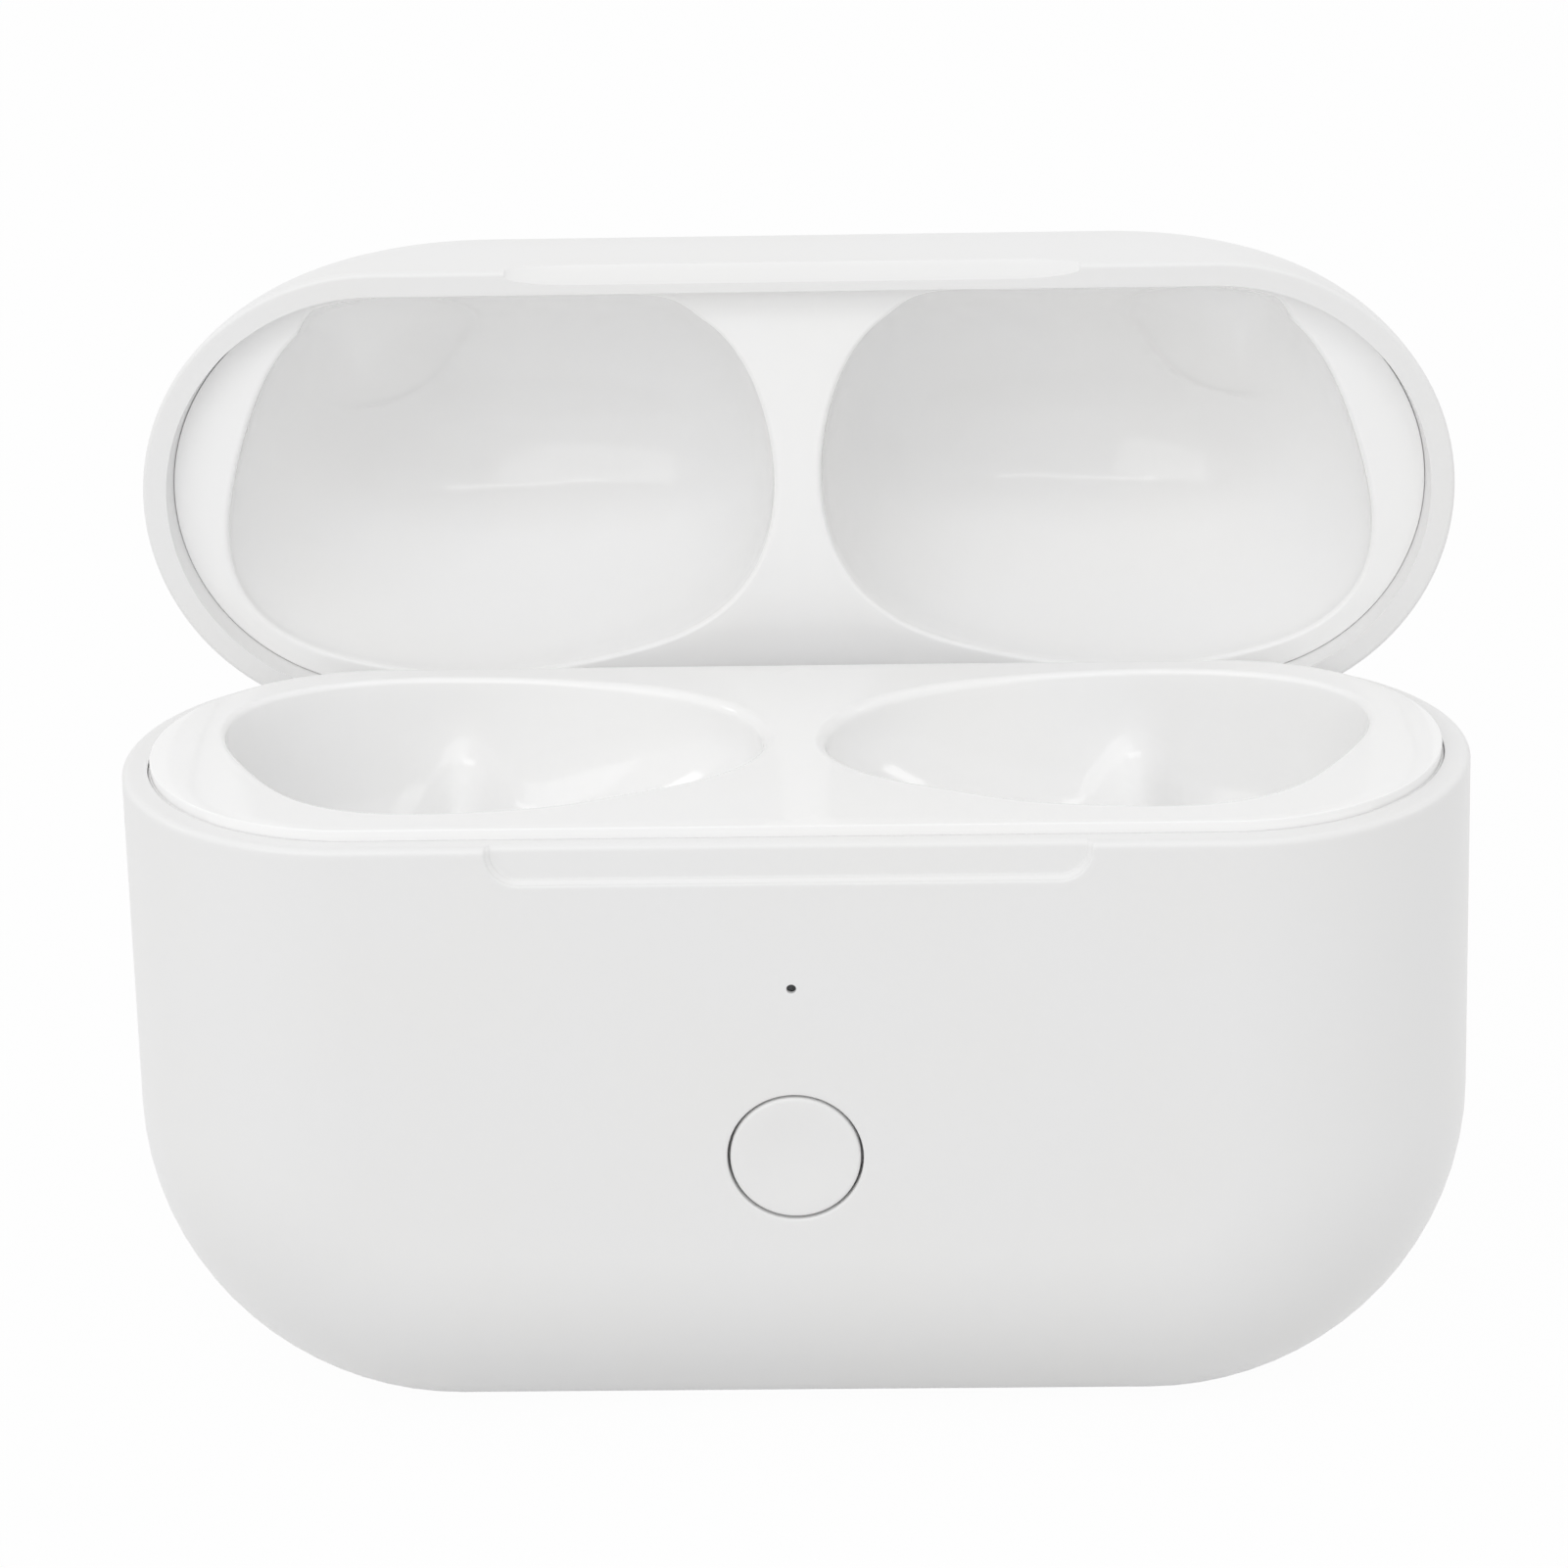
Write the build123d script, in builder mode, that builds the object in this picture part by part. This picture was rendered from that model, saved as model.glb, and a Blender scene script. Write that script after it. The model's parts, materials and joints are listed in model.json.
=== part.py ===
"""Wireless earbuds case, standing on its flat foot with the lid swung open.

Every piece is a separate solid in its own file. X runs to the case's right, Y to its back and Z up.
The origin is the middle of the foot. Sizes are in millimetres.
The lid's pieces are drawn with the lid shut, then carried round the hinge to where the lid stands open.
"""

import os

from build123d import *

# ---------------------------------------------------------------- driving sizes
# Outer form
case_width = 60.6
case_depth = 21.7
base_height = 29.63  # foot to parting plane
lid_height = 14.5  # parting plane to the top of the shut lid
base_corner = 14.54  # corner radius of the base, seen from the front
lid_corner = 16.02  # corner radius of the lid, seen from the front
foot_trim = 1.1  # how much of the rounded underside is cut away for the foot
crown_land = 0.02  # the rounded edges stop this short of meeting

# Shells and the parting line
base_wall = 1.15
lid_wall = 1.10
foot_wall = 1.20
seam = 0.10  # gap between the two rims when shut
fit_gap = 0.10  # gap between a shell and what is pushed into it
rim_rounding = 0.30
lip_height = 0.50  # how far the cradle stands above the base's rim
lip_rounding = 0.20
notch_width = 26.2
notch_height = 1.60
notch_depth = 0.35
notch_corner = 1.30
scoop_radius = 1.50  # thumb scoop in the lid's front rim
scoop_bite = 0.66  # how far the scoop reaches into the rim
scoop_drop = 0.26  # how far the scoop's axis lies below the lid's rim

# Hinge
hinge_inset = 1.20  # axis to the back face, and the barrel's radius
open_gap = 0.15
open_angle = 90.9
hinge_half_length = 10.0
knuckle_half_length = 4.50
knuckle_gap = 0.05
pin_radius = 0.50
pin_fit = 0.02
pin_running_fit = 0.05
bracket_thickness = 0.70
bracket_set_back = 0.20  # bracket's rear face to the hinge axis
bracket_drop = 6.80  # hinge axis to the bracket's lower edge
leaf_thickness = 0.40
leaf_offset = 0.02
leaf_reach = 8.00
hinge_screw_x = 7.00
hinge_screw_drop = 4.10
leaf_screw_x = 2.80
leaf_screw_reach = 6.40
screw_radius = 0.45
screw_head_radius = 0.80
screw_head_height = 0.25
screw_length = 1.90
screw_fit = 0.03
spring_thickness = 0.25
spring_half_width = 3.50
spring_gap = 0.05

# Cradle
well_end_margin = 4.35
well_front_margin = 3.20
well_back_margin = 2.40
well_web = 2.94  # thickness between the two wells where they are nearest
well_inner_radius = 5.60
well_depth = 8.00
well_floor_rounding = 4.60
well_rim_rounding = 0.30
cradle_wall = 0.90
deck_thickness = 1.00
skirt_height = 4.00
stem_bore_radius = 3.20
stem_inset = 2.75  # well's outer end to the bore's outer side
stem_floor_height = 6.93
stem_floor_thickness = 1.20

# Lid liner
liner_recess = 1.30
liner_wall = 0.55
liner_deck = 1.00
pocket_radius = 9.00
pocket_web = 2.40
pocket_end_margin = 3.80
pocket_shift = -0.20  # towards the front
boss_half_width = 4.80
boss_depth = 1.90
boss_height = 7.00

# Magnets
latch_magnet = (2.40, 1.40, 2.00)
latch_magnet_x = 2.40
sensor_magnet = (1.20, 1.40, 1.20)
bud_magnet_radius = 2.50
bud_magnet_height = 1.00
stem_magnet = (1.50, 3.00, 6.00)
stem_magnet_height = 16.0

# Button, light and circuit board
button_radius = 2.90
button_gap = 0.13
button_height = 14.63
button_thickness = 1.30
button_dish = 0.12
button_land = 0.40  # flat rim left round the dished face
button_rounding = 0.15
button_flange = 0.55  # flange's overhang behind the shell
button_flange_thickness = 0.40
button_travel = 0.25
button_rest_gap = 0.05
nub_radius = 1.00
seal_wall = 0.70
switch_side = 4.20
switch_thickness = 1.10
switch_plunger_radius = 0.90
switch_plunger_fit = 0.06
led_drop = 6.83  # parting plane to the light
led_hole_radius = 0.215
led_pipe_radius = 0.60
led_pipe_fit = 0.02
led_skin = 0.45
led_chip = (1.60, 0.55, 0.80)
board_half_width = 14.0
board_thickness = 0.80
board_set_back = 3.45  # outer front face to the board's front face
board_bottom = 8.20
tab_half_width = 4.40
tab_rise = 2.90  # how far the board's tab reaches above the light

# Battery and charging
battery_side_gap = 1.10
battery_depth = 12.0
battery_front_gap = 0.50
battery_rounding = 1.50
battery_floor_gap = 0.50
layer_gap = 0.04
coil_thickness = 0.55
coil_half_width = 12.5
coil_end_margin = 0.75  # how far the coil stays inside the battery's height at each end
coil_band = 3.60
ferrite_thickness = 0.40
pad_half_width = 11.0
port_opening = (8.34, 2.56)
port_wall = 0.30
port_length = 6.40
port_floor_height = 0.70
port_tongue = (6.60, 0.70, 4.60)
port_ring_width = 0.60
port_ring_thickness = 0.45
port_board_size = (17.0, 8.00, 0.60)
flex_thickness = 0.20
flex_width = 3.40
flex_rise_x = 8.10

# Sprung contacts at the foot of each stem bore
contact_offset = 1.20
barrel_radius = 0.65
barrel_length = 4.00
barrel_floor = 0.60
plunger_radius = 0.40
plunger_fit = 0.05
plunger_rise = 1.00
contact_travel = 0.60

# ---------------------------------------------------------------- derived places
half_width = case_width / 2
half_depth = case_depth / 2
base_rim = base_height - seam / 2
lid_rim = base_height + seam / 2
lid_top = base_height + lid_height
lip_top = base_rim + lip_height
inner_face = half_depth - base_wall

hinge_drop = hinge_inset + open_gap
hinge_y = half_depth - hinge_inset
hinge_z = base_height - hinge_drop
bead_radius = hinge_drop - seam / 2
barrel_room = hinge_inset + fit_gap
lid_swing = Pos(0, hinge_y, hinge_z) * Rot(-open_angle, 0, 0) * Pos(0, -hinge_y, -hinge_z)

well_outer_radius = half_depth - (well_front_margin + well_back_margin) / 2
well_y = (well_front_margin - well_back_margin) / 2
well_outer_x = half_width - well_end_margin - well_outer_radius
well_inner_x = well_web / 2 + well_inner_radius
well_floor = lip_top - well_depth
stem_x = half_width - well_end_margin - stem_inset - stem_bore_radius
stem_wall_radius = stem_bore_radius + cradle_wall
cradle_inset = base_wall + fit_gap

liner_inset = lid_wall + fit_gap
liner_face = lid_rim + liner_recess
pocket_inner_x = pocket_web / 2 + pocket_radius
pocket_outer_x = half_width - pocket_end_margin - pocket_radius

board_front = -half_depth + board_set_back
board_back = board_front + board_thickness
board_top = well_floor - cradle_wall - fit_gap
led_z = base_height - led_drop
battery_front = board_back + battery_front_gap
battery_back = battery_front + battery_depth
battery_half_width = stem_x - stem_wall_radius - battery_side_gap
bud_magnet_top = well_floor - cradle_wall - layer_gap
battery_top = bud_magnet_top - bud_magnet_height - layer_gap
port_top = port_floor_height + port_length
port_board_top = port_top + port_board_size[2]
battery_bottom = port_board_top + battery_floor_gap
coil_front = inner_face - layer_gap - coil_thickness
ferrite_front = coil_front - layer_gap - ferrite_thickness
coil_half_height = (battery_top - battery_bottom) / 2 - coil_end_margin
coil_z = (battery_bottom + battery_top) / 2 + layer_gap
barrel_bottom = stem_floor_height - barrel_length
contact_places = {
    "left_front": (-stem_x, well_y - contact_offset),
    "left_rear": (-stem_x, well_y + contact_offset),
    "right_front": (stem_x, well_y - contact_offset),
    "right_rear": (stem_x, well_y + contact_offset),
}


# ---------------------------------------------------------------- shared shapes
def base_pebble(inset, low, high):
    """The base's rounded body drawn in by inset, flat at the heights low and high."""
    bottom = inset - foot_trim
    depth = case_depth - 2 * inset
    with BuildPart() as pebble:
        with BuildSketch(Plane.XZ) as outline:
            with Locations((0, (bottom + high) / 2)):
                Rectangle(case_width - 2 * inset, high - bottom)
            fillet(outline.vertices().group_by(Axis.Y)[0], base_corner - inset)
        extrude(amount=depth / 2, both=True)
        ends = pebble.faces().filter_by(Axis.Y).edges()
        fillet(ends.filter_by(lambda e: e.center().Z < high - 1e-3), depth / 2 - crown_land)
        with BuildSketch(Plane.XY.offset(low)):
            Rectangle(case_width, case_depth)
        extrude(amount=-case_width, mode=Mode.SUBTRACT)
    return pebble.part


def lid_pebble(inset, low):
    """The shut lid's rounded body drawn in by inset, flat at the height low."""
    top = lid_top - inset
    bottom = lid_top - 2 * lid_corner
    depth = case_depth - 2 * inset
    with BuildPart() as pebble:
        with BuildSketch(Plane.XZ) as outline:
            with Locations((0, (bottom + top) / 2)):
                Rectangle(case_width - 2 * inset, top - bottom)
            fillet(outline.vertices().group_by(Axis.Y)[-1], lid_corner - inset)
        extrude(amount=depth / 2, both=True)
        ends = pebble.faces().filter_by(Axis.Y).edges()
        fillet(ends.filter_by(lambda e: e.center().Z > bottom + 1e-3), depth / 2 - crown_land)
        with BuildSketch(Plane.XY.offset(low)):
            Rectangle(case_width, case_depth)
        extrude(amount=bottom - low, mode=Mode.SUBTRACT)
    return pebble.part


def well_shape(side, growth, floor):
    """An egg-shaped earbud well grown by growth, from its rounded floor to above the lip."""
    with BuildPart() as well:
        with BuildSketch(Plane.XY.offset(floor)):
            with Locations((side * well_inner_x, well_y)):
                Circle(well_inner_radius + growth)
            with Locations((side * well_outer_x, well_y)):
                Circle(well_outer_radius + growth)
            make_hull()
        extrude(amount=lip_top - floor + growth)
        fillet(well.edges().group_by(Axis.Z)[0], well_floor_rounding + growth)
        if growth > 0:
            with BuildSketch(Plane.XY.offset(lip_top)):
                Rectangle(case_width, case_depth)
            extrude(amount=growth, mode=Mode.SUBTRACT)
    return well.part


def pocket_shape(side, growth):
    """A lid pocket grown by growth, from the liner's face up through the top of the lid."""
    with BuildPart() as pocket:
        with BuildSketch(Plane.XY.offset(liner_face)):
            with Locations((side * pocket_inner_x, pocket_shift), (side * pocket_outer_x, pocket_shift)):
                Circle(pocket_radius + growth)
            make_hull()
        extrude(amount=lid_top - liner_face)
    return pocket.part


def barrel(inner, outer, radius):
    """A cylinder on the hinge axis between two distances from the middle, on both sides."""
    with BuildPart() as cylinder:
        for side in (-1, 1):
            with BuildSketch(Plane.YZ.offset(side * inner)):
                with Locations((hinge_y, hinge_z)):
                    Circle(radius)
            extrude(amount=side * (outer - inner))
    return cylinder.part


def block(x_range, y_range, z_range):
    """A plain block between three pairs of limits."""
    (x0, x1), (y0, y1), (z0, z1) = x_range, y_range, z_range
    with BuildPart() as solid:
        with BuildSketch(Plane.XY.offset(z0)):
            with Locations(((x0 + x1) / 2, (y0 + y1) / 2)):
                Rectangle(x1 - x0, y1 - y0)
        extrude(amount=z1 - z0)
    return solid.part


def rod(x, z, radius, front, back):
    """A round bar along Y between two distances from the middle of the case."""
    with BuildPart() as bar:
        with BuildSketch(Plane.XZ.offset(-front)):
            with Locations((x, z)):
                Circle(radius)
        extrude(amount=front - back)
    return bar.part


def countersunk_screws(places, front, back, sunk_face):
    """Short screws along Y, their flat heads sunk flush with sunk_face at the back."""
    with BuildPart() as screws:
        for x, z in places:
            add(rod(x, z, screw_radius, front, back))
            add(rod(x, z, screw_head_radius, sunk_face - screw_head_height, sunk_face))
    return screws.part


# ---------------------------------------------------------------- outer shells
base_outer = base_pebble(0, 0, base_rim)
base_hollow = base_pebble(base_wall, foot_wall, base_rim + seam)
port_width, port_depth = port_opening
port_outer_width = port_width + 2 * port_wall
port_outer_depth = port_depth + 2 * port_wall

with BuildPart() as base_shell:
    add(base_outer)
    fillet(base_shell.edges().group_by(Axis.Z)[-1], rim_rounding)
    add(base_hollow, mode=Mode.SUBTRACT)
    # Rear rim rounded about the hinge axis, so that the lid's rim rolls past it.
    with BuildSketch(Plane.YZ.offset(-half_width)):
        with Locations((hinge_y, hinge_z)):
            Rectangle(2 * hinge_drop, 2 * hinge_drop, align=(Align.MIN, Align.MIN))
            Circle(bead_radius, mode=Mode.SUBTRACT)
    extrude(amount=case_width, mode=Mode.SUBTRACT)
    # Seat of the hinge barrel, open upwards.
    add(barrel(0, hinge_half_length + fit_gap, barrel_room), mode=Mode.SUBTRACT)
    add(
        block(
            (-hinge_half_length - fit_gap, hinge_half_length + fit_gap),
            (hinge_y - barrel_room, half_depth + fit_gap),
            (hinge_z, base_rim + fit_gap),
        ),
        mode=Mode.SUBTRACT,
    )
    # Thumb notch in the front face.
    with BuildSketch(Plane.XZ.offset(half_depth)):
        with Locations((0, base_rim)):
            RectangleRounded(notch_width, 2 * notch_height, notch_corner)
    extrude(amount=-notch_depth, mode=Mode.SUBTRACT)
    # Button hole, and the light's hole with a wider seat behind it.
    add(rod(0, button_height, button_radius + button_gap, -half_depth, -inner_face), mode=Mode.SUBTRACT)
    add(rod(0, led_z, led_hole_radius, -half_depth, -inner_face), mode=Mode.SUBTRACT)
    pipe_seat = led_pipe_radius + led_pipe_fit
    add(rod(0, led_z, pipe_seat, -half_depth + led_skin, -inner_face), mode=Mode.SUBTRACT)
    # Charge port in the foot, with a shallow seat for its trim ring.
    with BuildSketch(Plane.XY):
        RectangleRounded(
            port_outer_width + 2 * fit_gap, port_outer_depth + 2 * fit_gap, port_outer_depth / 2
        )
    extrude(amount=foot_wall, mode=Mode.SUBTRACT)
    with BuildSketch(Plane.XY):
        RectangleRounded(
            port_outer_width + 2 * port_ring_width + 4 * fit_gap,
            port_outer_depth + 2 * port_ring_width + 4 * fit_gap,
            port_outer_depth / 2 + port_ring_width,
        )
    extrude(amount=port_ring_thickness + layer_gap, mode=Mode.SUBTRACT)

with BuildPart() as shut_lid_shell:
    add(lid_pebble(0, lid_rim))
    add(lid_pebble(lid_wall, lid_rim - seam), mode=Mode.SUBTRACT)
    # Thumb scoop: a round-ended bar that bites into the front rim.
    scoop_y = -half_depth + scoop_bite - (scoop_radius**2 - scoop_drop**2) ** 0.5
    scoop_half = notch_width / 2 - scoop_radius
    with BuildSketch(Plane.YZ.offset(-scoop_half)):
        with Locations((scoop_y, lid_rim - scoop_drop)):
            Circle(scoop_radius)
    extrude(amount=2 * scoop_half, mode=Mode.SUBTRACT)
    for end in (-scoop_half, scoop_half):
        with Locations((end, scoop_y, lid_rim - scoop_drop)):
            Sphere(scoop_radius, mode=Mode.SUBTRACT)
    # Shallow seat in the rear wall for the hinge leaf.
    leaf_front = hinge_y + leaf_offset
    leaf_back = leaf_front + leaf_thickness
    add(
        block(
            (-knuckle_half_length - fit_gap, knuckle_half_length + fit_gap),
            (leaf_front - fit_gap, leaf_back + layer_gap),
            (lid_rim - seam, hinge_z + leaf_reach + fit_gap),
        ),
        mode=Mode.SUBTRACT,
    )

with BuildPart() as lid_shell:
    with Locations(lid_swing):
        add(shut_lid_shell.part)

# ---------------------------------------------------------------- cradle in the base
with BuildPart() as base_cradle:
    # Deck with its raised lip, and a skirt inside the shell.
    with BuildSketch(Plane.XY.offset(lip_top)):
        SlotOverall(case_width - 2 * cradle_inset, case_depth - 2 * cradle_inset)
    extrude(amount=-skirt_height)
    fillet(base_cradle.edges().group_by(Axis.Z)[-1], lip_rounding)
    with BuildSketch(Plane.XY.offset(lip_top - deck_thickness)):
        SlotOverall(
            case_width - 2 * (cradle_inset + cradle_wall), case_depth - 2 * (cradle_inset + cradle_wall)
        )
    extrude(amount=-skirt_height, mode=Mode.SUBTRACT)
    # Room for the hinge barrel and its bracket.
    add(barrel(0, hinge_half_length + fit_gap, barrel_room), mode=Mode.SUBTRACT)
    add(
        block(
            (-hinge_half_length - fit_gap, hinge_half_length + fit_gap),
            (hinge_y - bracket_set_back - bracket_thickness - fit_gap, half_depth),
            (lip_top - skirt_height - fit_gap, hinge_z),
        ),
        mode=Mode.SUBTRACT,
    )
    # Bowls, stem tubes and the bosses that the hinge bracket is screwed to.
    for side in (-1, 1):
        add(well_shape(side, cradle_wall, well_floor - cradle_wall))
        with BuildSketch(Plane.XY.offset(stem_floor_height - stem_floor_thickness)):
            with Locations((side * stem_x, well_y)):
                Circle(stem_wall_radius)
        extrude(amount=well_floor - stem_floor_height + stem_floor_thickness)
        add(
            block(
                (side * hinge_screw_x - 1.6, side * hinge_screw_x + 1.6),
                (well_y + well_inner_radius, hinge_y - bracket_set_back - bracket_thickness - pin_fit),
                (hinge_z - hinge_screw_drop - 2.0, hinge_z - hinge_screw_drop + 2.0),
            )
        )
    for side in (-1, 1):
        add(well_shape(side, 0, well_floor), mode=Mode.SUBTRACT)
        with BuildSketch(Plane.XY.offset(stem_floor_height)):
            with Locations((side * stem_x, well_y)):
                Circle(stem_bore_radius)
        extrude(amount=lip_top - stem_floor_height, mode=Mode.SUBTRACT)
        add(
            rod(
                side * hinge_screw_x,
                hinge_z - hinge_screw_drop,
                screw_radius + screw_fit,
                hinge_y - bracket_set_back - screw_length - screw_fit,
                half_depth,
            ),
            mode=Mode.SUBTRACT,
        )
    # Holes for the contact barrels in the floor of each stem bore.
    for x, y in contact_places.values():
        with BuildSketch(Plane.XY.offset(stem_floor_height - stem_floor_thickness)):
            with Locations((x, y)):
                Circle(barrel_radius + pin_fit)
        extrude(amount=stem_floor_thickness, mode=Mode.SUBTRACT)
    # Softened rims of the two wells.
    rims = base_cradle.edges().filter_by_position(Axis.Z, lip_top - 1e-3, lip_top + 1e-3)
    well_span = half_width - well_end_margin + 1e-3
    rims = rims.filter_by(lambda e: max(abs(v.X) for v in e.vertices()) < well_span)
    rims = rims.filter_by(lambda e: max(abs(v.Y) for v in e.vertices()) < half_depth - well_back_margin)
    fillet(rims, well_rim_rounding)

# ---------------------------------------------------------------- liner in the lid
with BuildPart() as shut_lid_liner:
    add(lid_pebble(liner_inset, liner_face))
    add(
        block(
            (-half_width, half_width),
            (-half_depth, half_depth),
            (liner_face + liner_deck, lid_top),
        ),
        mode=Mode.SUBTRACT,
    )
    for side in (-1, 1):
        walls = pocket_shape(side, liner_wall) & lid_pebble(liner_inset, liner_face)
        add(walls)
    # Boss behind the web, for the screws of the hinge leaf.
    add(
        block(
            (-boss_half_width, boss_half_width),
            (half_depth - liner_inset - boss_depth, half_depth - liner_inset),
            (liner_face, liner_face + boss_height),
        )
        & lid_pebble(liner_inset, liner_face)
    )
    # The hinge leaf's front face bears on the liner behind the hinge axis.
    add(
        block(
            (-knuckle_half_length - fit_gap, knuckle_half_length + fit_gap),
            (hinge_y, half_depth),
            (liner_face, hinge_z + leaf_reach + fit_gap),
        ),
        mode=Mode.SUBTRACT,
    )
    for side in (-1, 1):
        hollow = pocket_shape(side, 0) & lid_pebble(liner_inset + liner_wall, liner_face - seam)
        add(hollow, mode=Mode.SUBTRACT)
        add(
            rod(
                side * leaf_screw_x,
                hinge_z + leaf_screw_reach,
                screw_radius + screw_fit,
                leaf_back - screw_length + leaf_thickness - screw_fit,
                half_depth,
            ),
            mode=Mode.SUBTRACT,
        )

with BuildPart() as lid_liner:
    with Locations(lid_swing):
        add(shut_lid_liner.part)

# ---------------------------------------------------------------- hinge
bracket_back = hinge_y - bracket_set_back
bracket_front = bracket_back - bracket_thickness
base_screw_places = [(side * hinge_screw_x, hinge_z - hinge_screw_drop) for side in (-1, 1)]
leaf_screw_places = [(side * leaf_screw_x, hinge_z + leaf_screw_reach) for side in (-1, 1)]

with BuildPart() as hinge_base_bracket:
    add(
        block(
            (-hinge_half_length, hinge_half_length),
            (bracket_front, bracket_back),
            (hinge_z - bracket_drop, hinge_z),
        )
    )
    add(barrel(0, knuckle_half_length + knuckle_gap, barrel_room), mode=Mode.SUBTRACT)
    add(barrel(knuckle_half_length + knuckle_gap, hinge_half_length, hinge_inset))
    add(barrel(0, hinge_half_length, pin_radius + pin_fit), mode=Mode.SUBTRACT)
    for x, z in base_screw_places:
        add(rod(x, z, screw_radius + screw_fit, bracket_front, bracket_back), mode=Mode.SUBTRACT)
        sink = bracket_back - screw_head_height - screw_fit
        add(rod(x, z, screw_head_radius + screw_fit, sink, bracket_back), mode=Mode.SUBTRACT)

with BuildPart() as hinge_pin:
    add(barrel(0, hinge_half_length - knuckle_gap, pin_radius))

with BuildPart() as hinge_detent_spring:
    spring_back = hinge_y - hinge_inset - spring_gap
    spring_low = hinge_z - bracket_drop + 2 * bracket_thickness
    add(
        block(
            (-spring_half_width, spring_half_width),
            (spring_back - spring_thickness, spring_back),
            (spring_low, hinge_z + hinge_inset / 2),
        )
    )
    add(
        block(
            (-spring_half_width, spring_half_width),
            (spring_back, bracket_front),
            (spring_low, spring_low + bracket_thickness),
        )
    )

with BuildPart() as base_hinge_screws:
    add(countersunk_screws(base_screw_places, bracket_back - screw_length, bracket_back, bracket_back))

with BuildPart() as shut_hinge_leaf:
    add(
        block(
            (-knuckle_half_length, knuckle_half_length),
            (leaf_front, leaf_back),
            (hinge_z, hinge_z + leaf_reach),
        )
    )
    add(barrel(0, knuckle_half_length, hinge_inset))
    add(barrel(0, knuckle_half_length, pin_radius + pin_running_fit), mode=Mode.SUBTRACT)
    for x, z in leaf_screw_places:
        add(rod(x, z, screw_radius + screw_fit, leaf_front, leaf_back), mode=Mode.SUBTRACT)
        sink = leaf_back - screw_head_height - screw_fit
        add(rod(x, z, screw_head_radius + screw_fit, sink, leaf_back), mode=Mode.SUBTRACT)

with BuildPart() as hinge_lid_leaf:
    with Locations(lid_swing):
        add(shut_hinge_leaf.part)

with BuildPart() as lid_hinge_screws:
    screw_tip = leaf_back + leaf_thickness - screw_length
    with Locations(lid_swing):
        add(countersunk_screws(leaf_screw_places, screw_tip, leaf_back, leaf_back))

# ---------------------------------------------------------------- magnets
magnet_front = -half_depth + cradle_inset + cradle_wall + layer_gap


def magnet_block(x, size, low):
    """A magnet behind the front rim, standing at the height low."""
    width, depth, height = size
    return block((x - width / 2, x + width / 2), (magnet_front, magnet_front + depth), (low, low + height))


with BuildPart() as base_latch_magnets:
    for side in (-1, 1):
        low = lip_top - deck_thickness - layer_gap - latch_magnet[2]
        add(magnet_block(side * latch_magnet_x, latch_magnet, low))

with BuildPart() as lid_latch_magnets:
    with Locations(lid_swing):
        for side in (-1, 1):
            add(magnet_block(side * latch_magnet_x, latch_magnet, liner_face + liner_deck + layer_gap))

with BuildPart() as lid_sensor_magnet:
    with Locations(lid_swing):
        add(magnet_block(0, sensor_magnet, liner_face + liner_deck + layer_gap))

with BuildPart() as bud_magnets:
    with BuildSketch(Plane.XY.offset(bud_magnet_top)):
        with Locations((-well_inner_x, well_y), (well_inner_x, well_y)):
            Circle(bud_magnet_radius)
    extrude(amount=-bud_magnet_height)

with BuildPart() as stem_magnets:
    magnet_width, magnet_depth, magnet_height = stem_magnet
    near = stem_x + stem_wall_radius + layer_gap
    for side in (-1, 1):
        x_range = sorted((side * near, side * (near + magnet_width)))
        y_range = (well_y - magnet_depth / 2, well_y + magnet_depth / 2)
        z_range = (stem_magnet_height - magnet_height / 2, stem_magnet_height + magnet_height / 2)
        add(block(x_range, y_range, z_range))

# ---------------------------------------------------------------- button and switch
button_face = -half_depth
flange_front = -inner_face + button_rest_gap
flange_back = flange_front + button_flange_thickness
switch_front = board_front - switch_thickness
plunger_front = switch_front - button_travel - button_rest_gap

with BuildPart() as button_cap:
    add(rod(0, button_height, button_radius, button_face, flange_front))
    add(rod(0, button_height, button_radius + button_flange, flange_front, flange_back))
    add(rod(0, button_height, nub_radius, flange_back, plunger_front))
    fillet(button_cap.edges().group_by(Axis.Y)[0], button_rounding)
    # Dished face: a shallow cut from a large ball.
    dish_reach = button_radius - button_land
    dish_radius = (dish_reach**2 + button_dish**2) / (2 * button_dish)
    with Locations((0, button_face + button_dish - dish_radius, button_height)):
        Sphere(dish_radius, mode=Mode.SUBTRACT)

with BuildPart() as switch_plunger:
    add(rod(0, button_height, switch_plunger_radius, plunger_front, switch_front + button_travel))

with BuildPart() as switch_body:
    switch_low = button_height - switch_side / 2
    side_range = (-switch_side / 2, switch_side / 2)
    add(block(side_range, (switch_front, board_front), (switch_low, switch_low + switch_side)))
    well_back = switch_front + 2 * button_travel + button_rest_gap
    add(
        rod(0, button_height, switch_plunger_radius + switch_plunger_fit, switch_front, well_back),
        mode=Mode.SUBTRACT,
    )

with BuildPart() as button_seal:
    seal_front = flange_back + button_travel + pin_fit
    seal_radius = button_radius + button_flange
    add(rod(0, button_height, seal_radius, seal_front, board_front))
    add(rod(0, button_height, seal_radius - seal_wall / 2, seal_front, board_front), mode=Mode.SUBTRACT)

# ---------------------------------------------------------------- light, board and its parts
with BuildPart() as main_board:
    with BuildSketch(Plane.XZ.offset(-board_front)):
        with Locations((0, (board_bottom + board_top) / 2)):
            Rectangle(2 * board_half_width, board_top - board_bottom)
        tab_top = led_z + tab_rise
        with Locations((0, (board_bottom + tab_top) / 2)):
            Rectangle(2 * tab_half_width, tab_top - board_bottom)
    extrude(amount=-board_thickness)

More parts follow.
